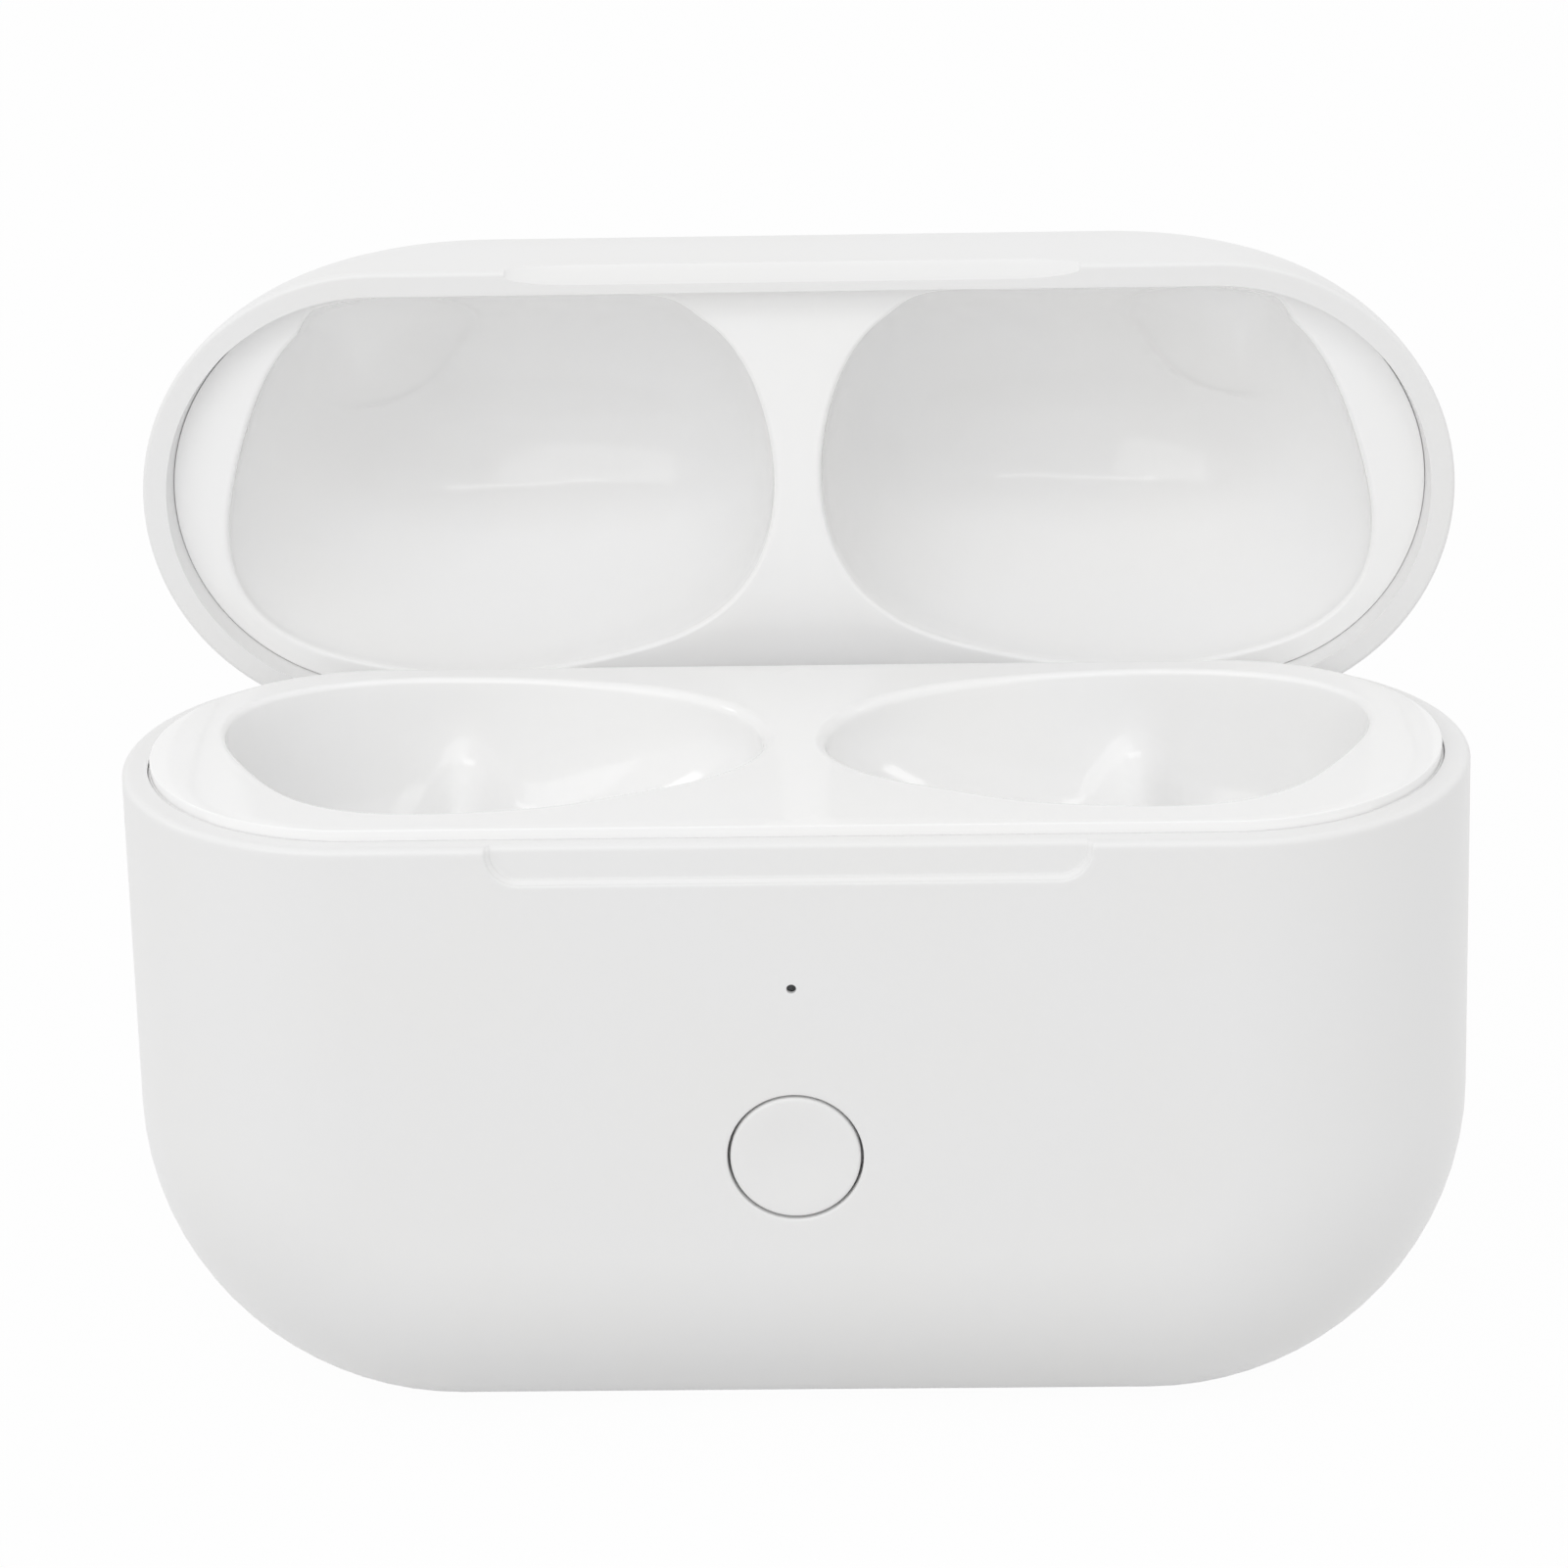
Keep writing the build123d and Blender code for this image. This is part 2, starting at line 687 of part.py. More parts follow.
with BuildPart() as status_led:
    led_width, led_depth, led_height = led_chip
    add(
        block(
            (-led_width / 2, led_width / 2),
            (board_front - led_depth, board_front),
            (led_z - led_height / 2, led_z + led_height / 2),
        )
    )

with BuildPart() as light_pipe:
    pipe_shoulder = -half_depth + led_skin + led_pipe_fit
    add(rod(0, led_z, led_hole_radius - led_pipe_fit, -half_depth + led_skin / 2, pipe_shoulder))
    add(rod(0, led_z, led_pipe_radius, pipe_shoulder, board_front - led_depth - layer_gap))

with BuildPart() as hall_sensor:
    sensor_z = led_z + tab_rise - 1.0
    add(block((-0.8, 0.8), (board_front - 0.6, board_front), (sensor_z - 0.5, sensor_z + 0.5)))

with BuildPart() as board_chips:
    chip_z = (board_bottom + board_top) / 2
    # Middle (x, z), width, height and thickness: charger, controller and coil driver.
    for x, z, width, height, thickness in (
        (-9.0, chip_z, 4.0, 4.0, 0.8),
        (9.0, chip_z, 3.0, 3.0, 0.7),
        (9.0, chip_z + 3.6, 2.4, 1.2, 0.6),
    ):
        x_range = (x - width / 2, x + width / 2)
        z_range = (z - height / 2, z + height / 2)
        add(block(x_range, (board_front - thickness, board_front), z_range))

# ---------------------------------------------------------------- battery and wireless charging
battery_range = (-battery_half_width, battery_half_width)
with BuildPart() as battery_cell:
    add(block(battery_range, (battery_front, battery_back), (battery_bottom, battery_top)))
    fillet(battery_cell.edges().filter_by(Axis.X), battery_rounding)

with BuildPart() as battery_tabs:
    tab_z = battery_top - battery_rounding - 1.0
    for side in (-1, 1):
        x_range = sorted((side * 2.0, side * 4.5))
        add(block(x_range, (board_back + pin_fit, battery_front - pin_fit), (tab_z - 0.15, tab_z + 0.15)))

with BuildPart() as charging_coil:
    with BuildSketch(Plane.XZ.offset(-coil_front)):
        with Locations((0, coil_z)):
            SlotOverall(2 * coil_half_width, 2 * coil_half_height)
            hole_width = 2 * (coil_half_width - coil_band)
            SlotOverall(hole_width, 2 * (coil_half_height - coil_band), mode=Mode.SUBTRACT)
    extrude(amount=-coil_thickness)

with BuildPart() as ferrite_sheet:
    with BuildSketch(Plane.XZ.offset(-ferrite_front)):
        with Locations((0, coil_z)):
            SlotOverall(2 * coil_half_width, 2 * coil_half_height)
    extrude(amount=-ferrite_thickness)

with BuildPart() as battery_pad:
    pad_half_height = coil_half_height - layer_gap - 1.0
    add(
        block(
            (-pad_half_width, pad_half_width),
            (battery_back + layer_gap, ferrite_front - layer_gap),
            (coil_z - pad_half_height, coil_z + pad_half_height),
        )
    )

# ---------------------------------------------------------------- charge port
with BuildPart() as port_shell:
    with BuildSketch(Plane.XY.offset(port_floor_height)):
        RectangleRounded(port_outer_width, port_outer_depth, port_outer_depth / 2 - crown_land)
    extrude(amount=port_length)
    with BuildSketch(Plane.XY.offset(port_floor_height)):
        RectangleRounded(port_width, port_depth, port_depth / 2 - crown_land)
    extrude(amount=port_length - port_wall, mode=Mode.SUBTRACT)

with BuildPart() as port_tongue_piece:
    tongue_width, tongue_depth, tongue_length = port_tongue
    tongue_top = port_top - port_wall - pin_fit
    add(
        block(
            (-tongue_width / 2, tongue_width / 2),
            (-tongue_depth / 2, tongue_depth / 2),
            (tongue_top - tongue_length, tongue_top),
        )
    )

with BuildPart() as port_trim_ring:
    with BuildSketch(Plane.XY.offset(layer_gap)):
        RectangleRounded(
            port_outer_width + 2 * port_ring_width + 2 * fit_gap,
            port_outer_depth + 2 * port_ring_width + 2 * fit_gap,
            port_outer_depth / 2 + port_ring_width,
        )
        RectangleRounded(
            port_outer_width + 2 * fit_gap,
            port_outer_depth + 2 * fit_gap,
            port_outer_depth / 2,
            mode=Mode.SUBTRACT,
        )
    extrude(amount=port_ring_thickness - layer_gap)

with BuildPart() as port_board:
    board_width, board_depth, board_height = port_board_size
    add(
        block(
            (-board_width / 2, board_width / 2),
            (-board_depth / 2, board_depth / 2),
            (port_top + pin_fit, port_board_top),
        )
    )

with BuildPart() as port_flex:
    flex_low = port_board_top + pin_fit
    flex_front = board_back + pin_fit
    x_range = (-flex_width, flex_width)
    add(block(x_range, (flex_front, board_depth / 2 - 1), (flex_low, flex_low + flex_thickness)))
    add(block(x_range, (flex_front, flex_front + flex_thickness), (flex_low, board_bottom + 2.5)))

# ---------------------------------------------------------------- sprung contacts
with BuildPart() as contact_barrels:
    for x, y in contact_places.values():
        with BuildSketch(Plane.XY.offset(barrel_bottom)):
            with Locations((x, y)):
                Circle(barrel_radius)
        extrude(amount=barrel_length)
    for x, y in contact_places.values():
        with BuildSketch(Plane.XY.offset(barrel_bottom + barrel_floor)):
            with Locations((x, y)):
                Circle(plunger_radius + plunger_fit)
        extrude(amount=barrel_length - barrel_floor, mode=Mode.SUBTRACT)

plungers = {}
for place, (x, y) in contact_places.items():
    with BuildPart() as plunger:
        plunger_low = barrel_bottom + barrel_floor + contact_travel + 0.30
        plunger_top = stem_floor_height + plunger_rise
        with BuildSketch(Plane.XY.offset(plunger_low)):
            with Locations((x, y)):
                Circle(plunger_radius)
        extrude(amount=plunger_top - plunger_low)
        fillet(plunger.edges().group_by(Axis.Z)[-1], plunger_radius / 2)
    plungers["contact_pin_" + place] = plunger


def contact_flex(side):
    """Flexible strip under one pair of contacts, turned up to the port board."""
    outer = stem_x + barrel_radius
    low = barrel_bottom - pin_fit - flex_thickness
    y_range = (well_y - flex_width / 2, well_y + flex_width / 2)
    run = block(sorted((side * flex_rise_x, side * outer)), y_range, (low, low + flex_thickness))
    rise_range = sorted((side * flex_rise_x, side * (flex_rise_x + flex_thickness)))
    rise = block(rise_range, y_range, (low, port_top))
    return run + rise


with BuildPart() as contact_flex_left:
    add(contact_flex(-1))

with BuildPart() as contact_flex_right:
    add(contact_flex(1))

# ---------------------------------------------------------------- files
finished = {
    "base_shell": base_shell,
    "base_cradle": base_cradle,
    "lid_shell": lid_shell,
    "lid_liner": lid_liner,
    "hinge_base_bracket": hinge_base_bracket,
    "hinge_lid_leaf": hinge_lid_leaf,
    "hinge_pin": hinge_pin,
    "hinge_detent_spring": hinge_detent_spring,
    "base_hinge_screws": base_hinge_screws,
    "lid_hinge_screws": lid_hinge_screws,
    "base_latch_magnets": base_latch_magnets,
    "lid_latch_magnets": lid_latch_magnets,
    "lid_sensor_magnet": lid_sensor_magnet,
    "bud_magnets": bud_magnets,
    "stem_magnets": stem_magnets,
    "button_cap": button_cap,
    "switch_plunger": switch_plunger,
    "switch_body": switch_body,
    "button_seal": button_seal,
    "main_board": main_board,
    "status_led": status_led,
    "light_pipe": light_pipe,
    "hall_sensor": hall_sensor,
    "board_chips": board_chips,
    "battery_cell": battery_cell,
    "battery_tabs": battery_tabs,
    "battery_pad": battery_pad,
    "charging_coil": charging_coil,
    "ferrite_sheet": ferrite_sheet,
    "port_shell": port_shell,
    "port_tongue": port_tongue_piece,
    "port_trim_ring": port_trim_ring,
    "port_board": port_board,
    "port_flex": port_flex,
    "contact_barrels": contact_barrels,
    "contact_flex_left": contact_flex_left,
    "contact_flex_right": contact_flex_right,
    **plungers,
}

os.makedirs("parts", exist_ok=True)
for name, piece in finished.items():
    piece.part.label = name
    export_step(piece.part, f"parts/{name}.step")
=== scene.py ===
"""Looks of a wireless earbuds case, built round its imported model.

The case stands on its flat foot with the lid swung open. X runs to the case's right, Y to its back, Z up.
Shapes are worked out in millimetres and put into the meshes in metres.
The lid's pieces are drawn with the lid shut, then turned about the hinge to where the lid stands open.
"""

import json

import bmesh
import bpy
import numpy as np
from mathutils import Matrix, Vector


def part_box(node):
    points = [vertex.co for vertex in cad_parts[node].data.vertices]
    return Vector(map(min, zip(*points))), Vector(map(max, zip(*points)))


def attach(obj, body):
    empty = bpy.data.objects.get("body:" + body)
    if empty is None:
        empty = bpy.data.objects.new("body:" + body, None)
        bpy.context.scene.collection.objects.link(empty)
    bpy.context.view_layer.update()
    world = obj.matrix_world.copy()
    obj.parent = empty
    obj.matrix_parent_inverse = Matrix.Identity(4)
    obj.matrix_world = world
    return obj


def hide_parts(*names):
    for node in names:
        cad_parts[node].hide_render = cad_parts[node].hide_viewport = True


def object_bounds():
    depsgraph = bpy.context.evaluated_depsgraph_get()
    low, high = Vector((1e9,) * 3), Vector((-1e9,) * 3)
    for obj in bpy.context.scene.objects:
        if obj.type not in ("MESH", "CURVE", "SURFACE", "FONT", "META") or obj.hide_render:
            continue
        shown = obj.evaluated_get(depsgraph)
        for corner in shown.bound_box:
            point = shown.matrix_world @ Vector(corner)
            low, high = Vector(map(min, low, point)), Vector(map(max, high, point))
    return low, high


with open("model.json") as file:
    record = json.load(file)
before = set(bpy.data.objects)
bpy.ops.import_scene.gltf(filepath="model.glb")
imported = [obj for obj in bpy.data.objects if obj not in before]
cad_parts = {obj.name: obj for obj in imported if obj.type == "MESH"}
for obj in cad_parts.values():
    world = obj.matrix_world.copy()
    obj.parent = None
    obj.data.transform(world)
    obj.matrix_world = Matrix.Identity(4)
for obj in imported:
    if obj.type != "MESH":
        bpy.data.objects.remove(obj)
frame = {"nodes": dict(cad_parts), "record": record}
CAD_BOX = [list(corner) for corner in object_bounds()]

bl_info = {
    "name": "Wireless earbuds case",
    "version": (1, 0, 0),
    "blender": (4, 5, 0),
    "location": "View3D > Sidebar > Earbuds case",
    "description": "Builds the looks of a wireless earbuds case round its packed model",
    "category": "Object",
}

MM = 0.001
CAD = {name: [np.array(corner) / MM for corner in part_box(name)] for name in frame["nodes"]}
WELD = 1e-6  # metres between points that become one
PI = np.pi
MIRROR = np.array([-1.0, 1.0, 1.0])

# ---------------------------------------------------------------- sizes in millimetres
HALF_DEPTH = -CAD_BOX[0][1] / MM
BASE_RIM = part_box("base_shell")[1].z / MM
LIP_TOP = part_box("base_cradle")[1].z / MM
LID_RIM = BASE_RIM + 0.10
HINGE_Y = HALF_DEPTH - 1.20
HINGE_Z = LID_RIM - 1.40
OPEN_ANGLE = np.radians(-90.9)

BASE_WALL = 1.15
LID_WALL = 1.10
FOOT_WALL = 1.20
RIM_ROUND = 0.30
RIM_FLAT_END = BASE_WALL - 0.05
BEAD = 1.30
SEAT_HALF = 10.10
SEAT_STEP = 1e-4
SINK_FROM = 22.0
SINK_TO = HINGE_Z - 0.50
FOOT_ROUND = 0.15
NOTCH_HALF = 13.10
NOTCH_DROP = 1.60
NOTCH_CORNER = 1.30
NOTCH_DEPTH = 0.35
LIGHT_Z = 22.80
LIGHT_RADIUS = 0.215
LIGHT_SEAT_RADIUS = 0.62
LIGHT_SEAT_DEPTH = 0.45
BUTTON_Z = 14.63
BUTTON_RADIUS = 2.90
BUTTON_GAP = 0.13
PORT_HALF = (4.57, 1.68)
PORT_SEAT = 0.70
PORT_SEAT_DEPTH = 0.49
# The patch of the shell's grid that each hole is cut from: on the front its lowest z, its highest z (for the
# notch the rim's) and half its width, on the foot half its width and the angle across the edge in degrees.
LIGHT_PATCH = (21.6, 24.0, 1.2)
BUTTON_PATCH = (10.42, 18.6, 4.2)
NOTCH_PATCH = (27.0, 14.6)
PORT_PATCH = (7.2, 20.0)
COLUMN_STEP = 0.9
ROW_STEP = 0.8


# ---------------------------------------------------------------- small maths
def mix(a, b, t):
    """a + (b - a) t."""
    return a + (b - a) * t


def ease(low, high, value):
    """3 t^2 - 2 t^3 for t going from 0 at low to 1 at high, held outside."""
    t = np.clip((value - low) / (high - low), 0.0, 1.0)
    return t * t * (3.0 - 2.0 * t)


def soft_floor(value, floor, reach):
    """The larger of value and floor, with the corner rounded by a parabola within reach on each side."""
    over = value - floor
    bend = (over + reach) ** 2 / (4.0 * reach)
    return floor + np.where(over > reach, over, np.where(over < -reach, 0.0, bend))


def lines(breaks, spacing):
    """Rising numbers that hold every break, with equal steps of about spacing between them."""
    runs = [
        np.linspace(a, b, max(1, int(np.ceil((b - a) / spacing - 1e-9))), endpoint=False)
        for a, b in zip(breaks[:-1], breaks[1:])
    ]
    return np.concatenate(runs + [[breaks[-1]]])


def both_sides(values):
    """values, which rise from 0, with their mirror images before them."""
    return np.concatenate([-values[:0:-1], values])


def nearest(values, wanted):
    """The place in values of the one nearest to wanted."""
    return int(np.abs(values - wanted).argmin())


def stack(x, y, z):
    """Points from three arrays that spread to one shape."""
    return np.stack(np.broadcast_arrays(x, y, z), axis=-1).astype(float)


def opened(points):
    """Shut lid's points turned about the hinge axis to where the lid stands open."""
    c, s = np.cos(OPEN_ANGLE), np.sin(OPEN_ANGLE)
    y, z = points[..., 1] - HINGE_Y, points[..., 2] - HINGE_Z
    return stack(points[..., 0], HINGE_Y + y * c - z * s, HINGE_Z + y * s + z * c)


# ---------------------------------------------------------------- surfaces
class Skin:
    """Patches of one piece, welded into one closed mesh at the end."""

    def __init__(self):
        self.patches = []

    def add(self, points, faces):
        """Adds a patch: its points, and its faces as rows of their places among them."""
        self.patches.append((points.reshape(-1, 3), faces))

    def grid(self, points, keep=None):
        """Quads over a grid of points, less those where keep is False."""
        n, m = points.shape[:2]
        index = np.arange(n * m).reshape(n, m)
        quads = np.stack([index[:-1, :-1], index[1:, :-1], index[1:, 1:], index[:-1, 1:]], -1)
        self.add(points, quads[keep] if keep is not None else quads.reshape(-1, 4))

    def rings(self, *loops):
        """Quads between closed loops that have one number of points."""
        closed = np.stack([np.concatenate([loop, loop[:1]]) for loop in loops])
        self.grid(closed)

    def zipped(self, a, b, ta, tb):
        """Triangles between two rows of points, taken in the order of their rising parameters."""
        kind = np.concatenate([np.zeros(len(a) - 1), np.ones(len(b) - 1)])
        kind = kind[np.argsort(np.concatenate([ta[1:], tb[1:]]), kind="stable")]
        i = (np.cumsum(kind == 0) - (kind == 0)).astype(int)
        j = (np.cumsum(kind == 1) - (kind == 1)).astype(int)
        third = np.where(kind == 0, i + 1, len(a) + j + 1)
        self.add(np.concatenate([a, b]), np.stack([i, third, len(a) + j], -1))

    def zipped_rings(self, a, b, centre, axes):
        """Triangles between two closed loops round one centre, taken by the angle in the plane of axes."""

        def turned(loop):
            """The loop and its angles, begun anew at its smallest angle and closed."""
            u, v = loop[:, axes[0]] - centre[0], loop[:, axes[1]] - centre[1]
            angle = np.mod(np.arctan2(v, u) + 1e-9, 2 * PI)
            order = np.argsort(angle)
            full = np.append(angle[order], 2 * PI + angle[order[0]])
            return np.concatenate([loop[order], loop[order[:1]]]), full

        (a, ta), (b, tb) = turned(a), turned(b)
        self.zipped(a, b, ta, tb)

    def mirror(self):
        """Adds the mirror image of every patch in the plane X = 0."""
        self.patches += [(points * MIRROR, faces[:, ::-1]) for points, faces in self.patches]

    def open(self):
        """Turns every patch of the shut lid to where the lid stands open."""
        self.patches = [(opened(points), faces) for points, faces in self.patches]

    def piece(self, name, sharp=32.0):
        """The welded mesh as an object, its faces outwards, its edges sharp above an angle in degrees."""
        mesh = bpy.data.meshes.new(name)
        points = np.concatenate([points for points, _ in self.patches]) * MM
        starts = np.cumsum([0] + [len(points) for points, _ in self.patches])
        faces = [face for (_, block), start in zip(self.patches, starts) for face in (block + start).tolist()]
        mesh.from_pydata(points, [], faces)
        body = bmesh.new()
        body.from_mesh(mesh)
        bmesh.ops.remove_doubles(body, verts=body.verts, dist=WELD)
        bmesh.ops.delete(body, geom=[v for v in body.verts if not v.link_faces], context="VERTS")
        bmesh.ops.recalc_face_normals(body, faces=body.faces)
        if body.calc_volume(signed=True) < 0:
            bmesh.ops.reverse_faces(body, faces=body.faces)
        for face in body.faces:
            face.smooth = True
        for edge in body.edges:
            edge.smooth = bool(edge.calc_face_angle(0.0) < np.radians(sharp))
        body.to_mesh(mesh)
        body.free()
        piece = bpy.data.objects.new(name, mesh)
        bpy.context.scene.collection.objects.link(piece)
        return piece


def circle(x, y, z, radius, count=72):
    """Closed loop about an axis along Y: (x + r cos t, y, z + r sin t)."""
    t = np.arange(count) * 2 * PI / count
    return stack(x + radius * np.cos(t), y, z + radius * np.sin(t))


def soft_box(half_x, half_y, z, radius, corner=8, side=6):
    """Closed loop of a rectangle with round corners at height z: quarter turns with straights between."""
    turn = np.linspace(0, PI / 2, corner + 1)
    arcs = []
    for k, (sx, sy) in enumerate(((1, 1), (-1, 1), (-1, -1), (1, -1))):
        angle = turn + k * PI / 2
        x = sx * (half_x - radius) + radius * np.cos(angle)
        y = sy * (half_y - radius) + radius * np.sin(angle)
        arcs.append(np.stack([x, y], -1))
    rows = []
    for k, arc in enumerate(arcs):
        rows += [arc[:-1], mix(arc[-1], arcs[(k + 1) % 4][0], np.arange(side)[:, None] / side)]
    flat = np.concatenate(rows)
    return stack(flat[:, 0], flat[:, 1], z)


class Pebble:
    """Rounded body: the points at one distance from a flat, round-cornered plate in the plane Y = 0.

    The plate's corners have their centres at (+-corner_x, corner_z) and the radius plate_radius. Seen from
    the front they turn down (turn = -1, the base) or up (turn = 1, the lid). With b the angle across the
    edge, from -90 degrees at the front to 90 at the back, and f the angle round the corner, the surface at a
    distance r is x = corner_x + (plate_radius + r cos b) cos f, y = r sin b,
    z = corner_z + turn (plate_radius + r cos b) sin f.
    """

    def __init__(self, corner_x, corner_z, plate_radius, turn):
        self.corner_x = corner_x
        self.corner_z = corner_z
        self.plate_radius = plate_radius
        self.turn = turn

    def side(self, reach, z):
        """x of the surface at height z, where reach is r cos b."""
        past = np.maximum(self.turn * (z - self.corner_z), 0.0)
        return self.corner_x + np.sqrt(np.maximum((self.plate_radius + reach) ** 2 - past**2, 0.0))

    def corner(self, reach, angle):
        """(x, z) round the corner."""
        out = self.plate_radius + reach
        return self.corner_x + out * np.cos(angle), self.corner_z + self.turn * out * np.sin(angle)

    def end(self, reach):
        """z of the flat end band: the base's underside or the lid's top."""
        return self.corner_z + self.turn * (self.plate_radius + reach)

    def front_lines(self, columns, z, strips):
        """x of a row on the flat front at height z: columns, then strips out to the plate's edge."""
        edge = self.side(0.0, z)
        outer = mix(self.corner_x, edge[..., None], strips)
        middle = np.broadcast_to(columns, edge.shape + columns.shape)
        return np.concatenate([-outer[..., ::-1], middle, outer], -1)


BASE = Pebble(corner_x=15.76, corner_z=13.44, plate_radius=3.69, turn=-1)
LID = Pebble(corner_x=14.28, corner_z=28.11, plate_radius=5.17, turn=1)
# Where the shells have their lines: angles across the edge, shares of the way from corner_x to the edge.
EDGE = np.radians(np.concatenate([[-90, -88.6], np.linspace(-86, 86, 63), [88.6, 90]]))
STRIPS = np.array([0.34, 0.67, 0.93, 1.0])


# ---------------------------------------------------------------- base shell
def bead_top(y):
    """Height of the rear rim, round about the hinge axis: z = hinge z + sqrt(bead^2 - (y - hinge y)^2)."""
    return HINGE_Z + np.sqrt(np.maximum(BEAD**2 - (y - HINGE_Y) ** 2, 0.0))


def seat_bottom(y):
    """Floor of the hinge barrel's seat: z = hinge z - sqrt(bead^2 - (y - hinge y)^2)."""
    return HINGE_Z - np.sqrt(np.maximum(BEAD**2 - (y - HINGE_Y) ** 2, 0.0))


def base_top(x, y, z):
    """Height z of the rim, lowered behind the hinge axis to the bead, and to the seat beside the barrel."""
    behind = y > HINGE_Y
    z = np.where(behind, np.minimum(z, bead_top(y)), z)
    return np.where(behind & (np.abs(x) < SEAT_HALF), seat_bottom(y), z)


def base_rows(x, y, z, rim, rear):
    """Rows of the wall, whose first is the rim; towards the back the upper rows sink to the height rear."""
    sunk = mix(z[1], rear, ease(0.0, 0.86 * HALF_DEPTH, y))
    low = SINK_FROM
    rows = np.where(z > low, low + (z - low) * (sunk - low) / (z[1] - low), z)
    return np.concatenate([base_top(x, y, rim)[:1], rows[1:]])


def cut_out(keep, points, rows, columns):
    """Takes the quads between two rows and two columns out of keep, and returns the points there."""
    keep[rows[0] : rows[1], columns[0] : columns[1]] = False
    return points[rows[0] : rows[1] + 1, columns[0] : columns[1] + 1]


def base_skin(skin, radius, columns, walls, arc, rim, rear, floor, holes):
    """One skin of the base at a distance radius: its edge in one grid, flat front and back less the holes.

    Returns the four rows at the rim, front and back along x, right and left along the edge angle, and under
    each hole's name the points of its patch.
    """
    edge = EDGE[None, :]
    reach, y = radius * np.cos(edge), radius * np.sin(edge)
    wall_z = base_rows(BASE.side(reach, walls[:, None]), y, walls[:, None] + 0 * edge, rim, rear)
    wall_x = np.broadcast_to(BASE.side(reach, walls[:, None]), wall_z.shape)
    arc_x, arc_z = BASE.corner(reach, arc[1:, None])
    side = stack(np.concatenate([wall_x, arc_x]), y, np.concatenate([wall_z, arc_z]))
    left = side * MIRROR
    under = stack(columns[1:-1, None], y, BASE.end(reach))
    band = np.concatenate([left, under, side[::-1]])
    band[..., 2] = soft_floor(band[..., 2], floor, FOOT_ROUND)
    keep = np.ones((len(band) - 1, len(EDGE) - 1), bool)
    rows, cuts = holes["port"]
    start = len(side) - 1
    found = {"port": cut_out(keep, band, (start + rows[0], start + rows[1]), cuts)}
    skin.grid(band, keep)

    heights = np.concatenate([walls, BASE.corner(0.0, arc[1:])[1]])
    x = BASE.front_lines(columns, heights, STRIPS)
    for face, place in (("front", -radius), ("back", radius)):
        z = np.broadcast_to(heights[:, None], x.shape).copy()
        wall = slice(len(walls))
        z[wall] = base_rows(x[wall], place + 0 * x[wall], z[wall], rim, rear)
        sheet = stack(x, place, z)
        keep = np.ones((x.shape[0] - 1, x.shape[1] - 1), bool)
        if face == "front":
            found |= {name: cut_out(keep, sheet, *patch) for name, patch in holes.items() if name != "port"}
        skin.grid(sheet, keep)
        found[face] = sheet[0]
    return found | {"right": side[0], "left": left[0]}


def border(block):
    """Closed loop round the outside of a block of points."""
    return np.concatenate([block[0, :-1], block[:-1, -1], block[-1, :0:-1], block[:0:-1, 0]])


def notch_edge(count=14, long=44):
    """Outline of the thumb notch as (centre x, centre z, outward x, outward z).

    It is a quarter turn, the straight foot and a quarter turn, at one distance from centres in one line.
    """
    turn = np.linspace(PI, 1.5 * PI, count)
    foot = np.linspace(-1, 1, long)[1:-1] * (NOTCH_HALF - NOTCH_CORNER)
    centre_z = BASE_RIM - NOTCH_DROP + NOTCH_CORNER
    ends = 0 * turn + NOTCH_HALF - NOTCH_CORNER
    centre_x = np.concatenate([-ends, foot, ends])
    out_x = np.concatenate([np.cos(turn), 0 * foot, -np.cos(turn)[::-1]])
    out_z = np.concatenate([np.sin(turn), 0 * foot - 1, np.sin(turn)[::-1]])
    return centre_x, centre_z, out_x, out_z


def notch_profile():
    """Section across the notch's edge as (distance outwards, depth): round over, steep wall, round foot."""
    turn = np.linspace(0, PI / 2, 5)
    over, foot = 0.13, 0.10
    high = np.stack([0.13 + over * (1 - np.sin(turn)), over * (1 - np.cos(turn))])
    low = np.stack([-0.03 - foot * (1 - np.cos(turn)), NOTCH_DEPTH - foot * (1 - np.sin(turn))])
    return np.concatenate([[[0.42], [0.0]], high, low, [[-0.30], [NOTCH_DEPTH]]], axis=1)


def round_over(radius, flat):
    """(growth of the hole, depth) round an outside edge, from a flat ring inwards."""
    turn = np.linspace(0, PI / 2, 5)
    grown = np.concatenate([[radius + flat], radius * (1 - np.sin(turn))])
    return list(zip(grown, np.concatenate([[0.0], radius * (1 - np.cos(turn))])))


def hole(skin, name, loops, outer, inner, centre, axes):
    """A hole's wall, joined to the patches that it was cut from in the outer and the inner skin."""
    skin.zipped_rings(border(outer[name]), loops[0], centre, axes)
    skin.rings(*loops)
    skin.zipped_rings(border(inner[name]), loops[-1], centre, axes)


def front_holes(skin, outer, inner, back):
    """Holes through the front, a little rounded over outside; the light's has a wider seat behind."""
    front = -HALF_DEPTH
    radius = BUTTON_RADIUS + BUTTON_GAP
    loops = [circle(0, front + d, BUTTON_Z, radius + r) for r, d in round_over(0.10, 0.20)]
    loops.append(circle(0, back, BUTTON_Z, radius))
    hole(skin, "button", loops, outer, inner, (0, BUTTON_Z), (0, 2))
    seat, wide = front + LIGHT_SEAT_DEPTH, LIGHT_SEAT_RADIUS
    loops = [circle(0, front + d, LIGHT_Z, LIGHT_RADIUS + r, 36) for r, d in round_over(0.03, 0.10)]
    loops += [circle(0, y, LIGHT_Z, r, 36) for y, r in ((seat, LIGHT_RADIUS), (seat, wide), (back, wide))]
    hole(skin, "light", loops, outer, inner, (0, LIGHT_Z), (0, 2))


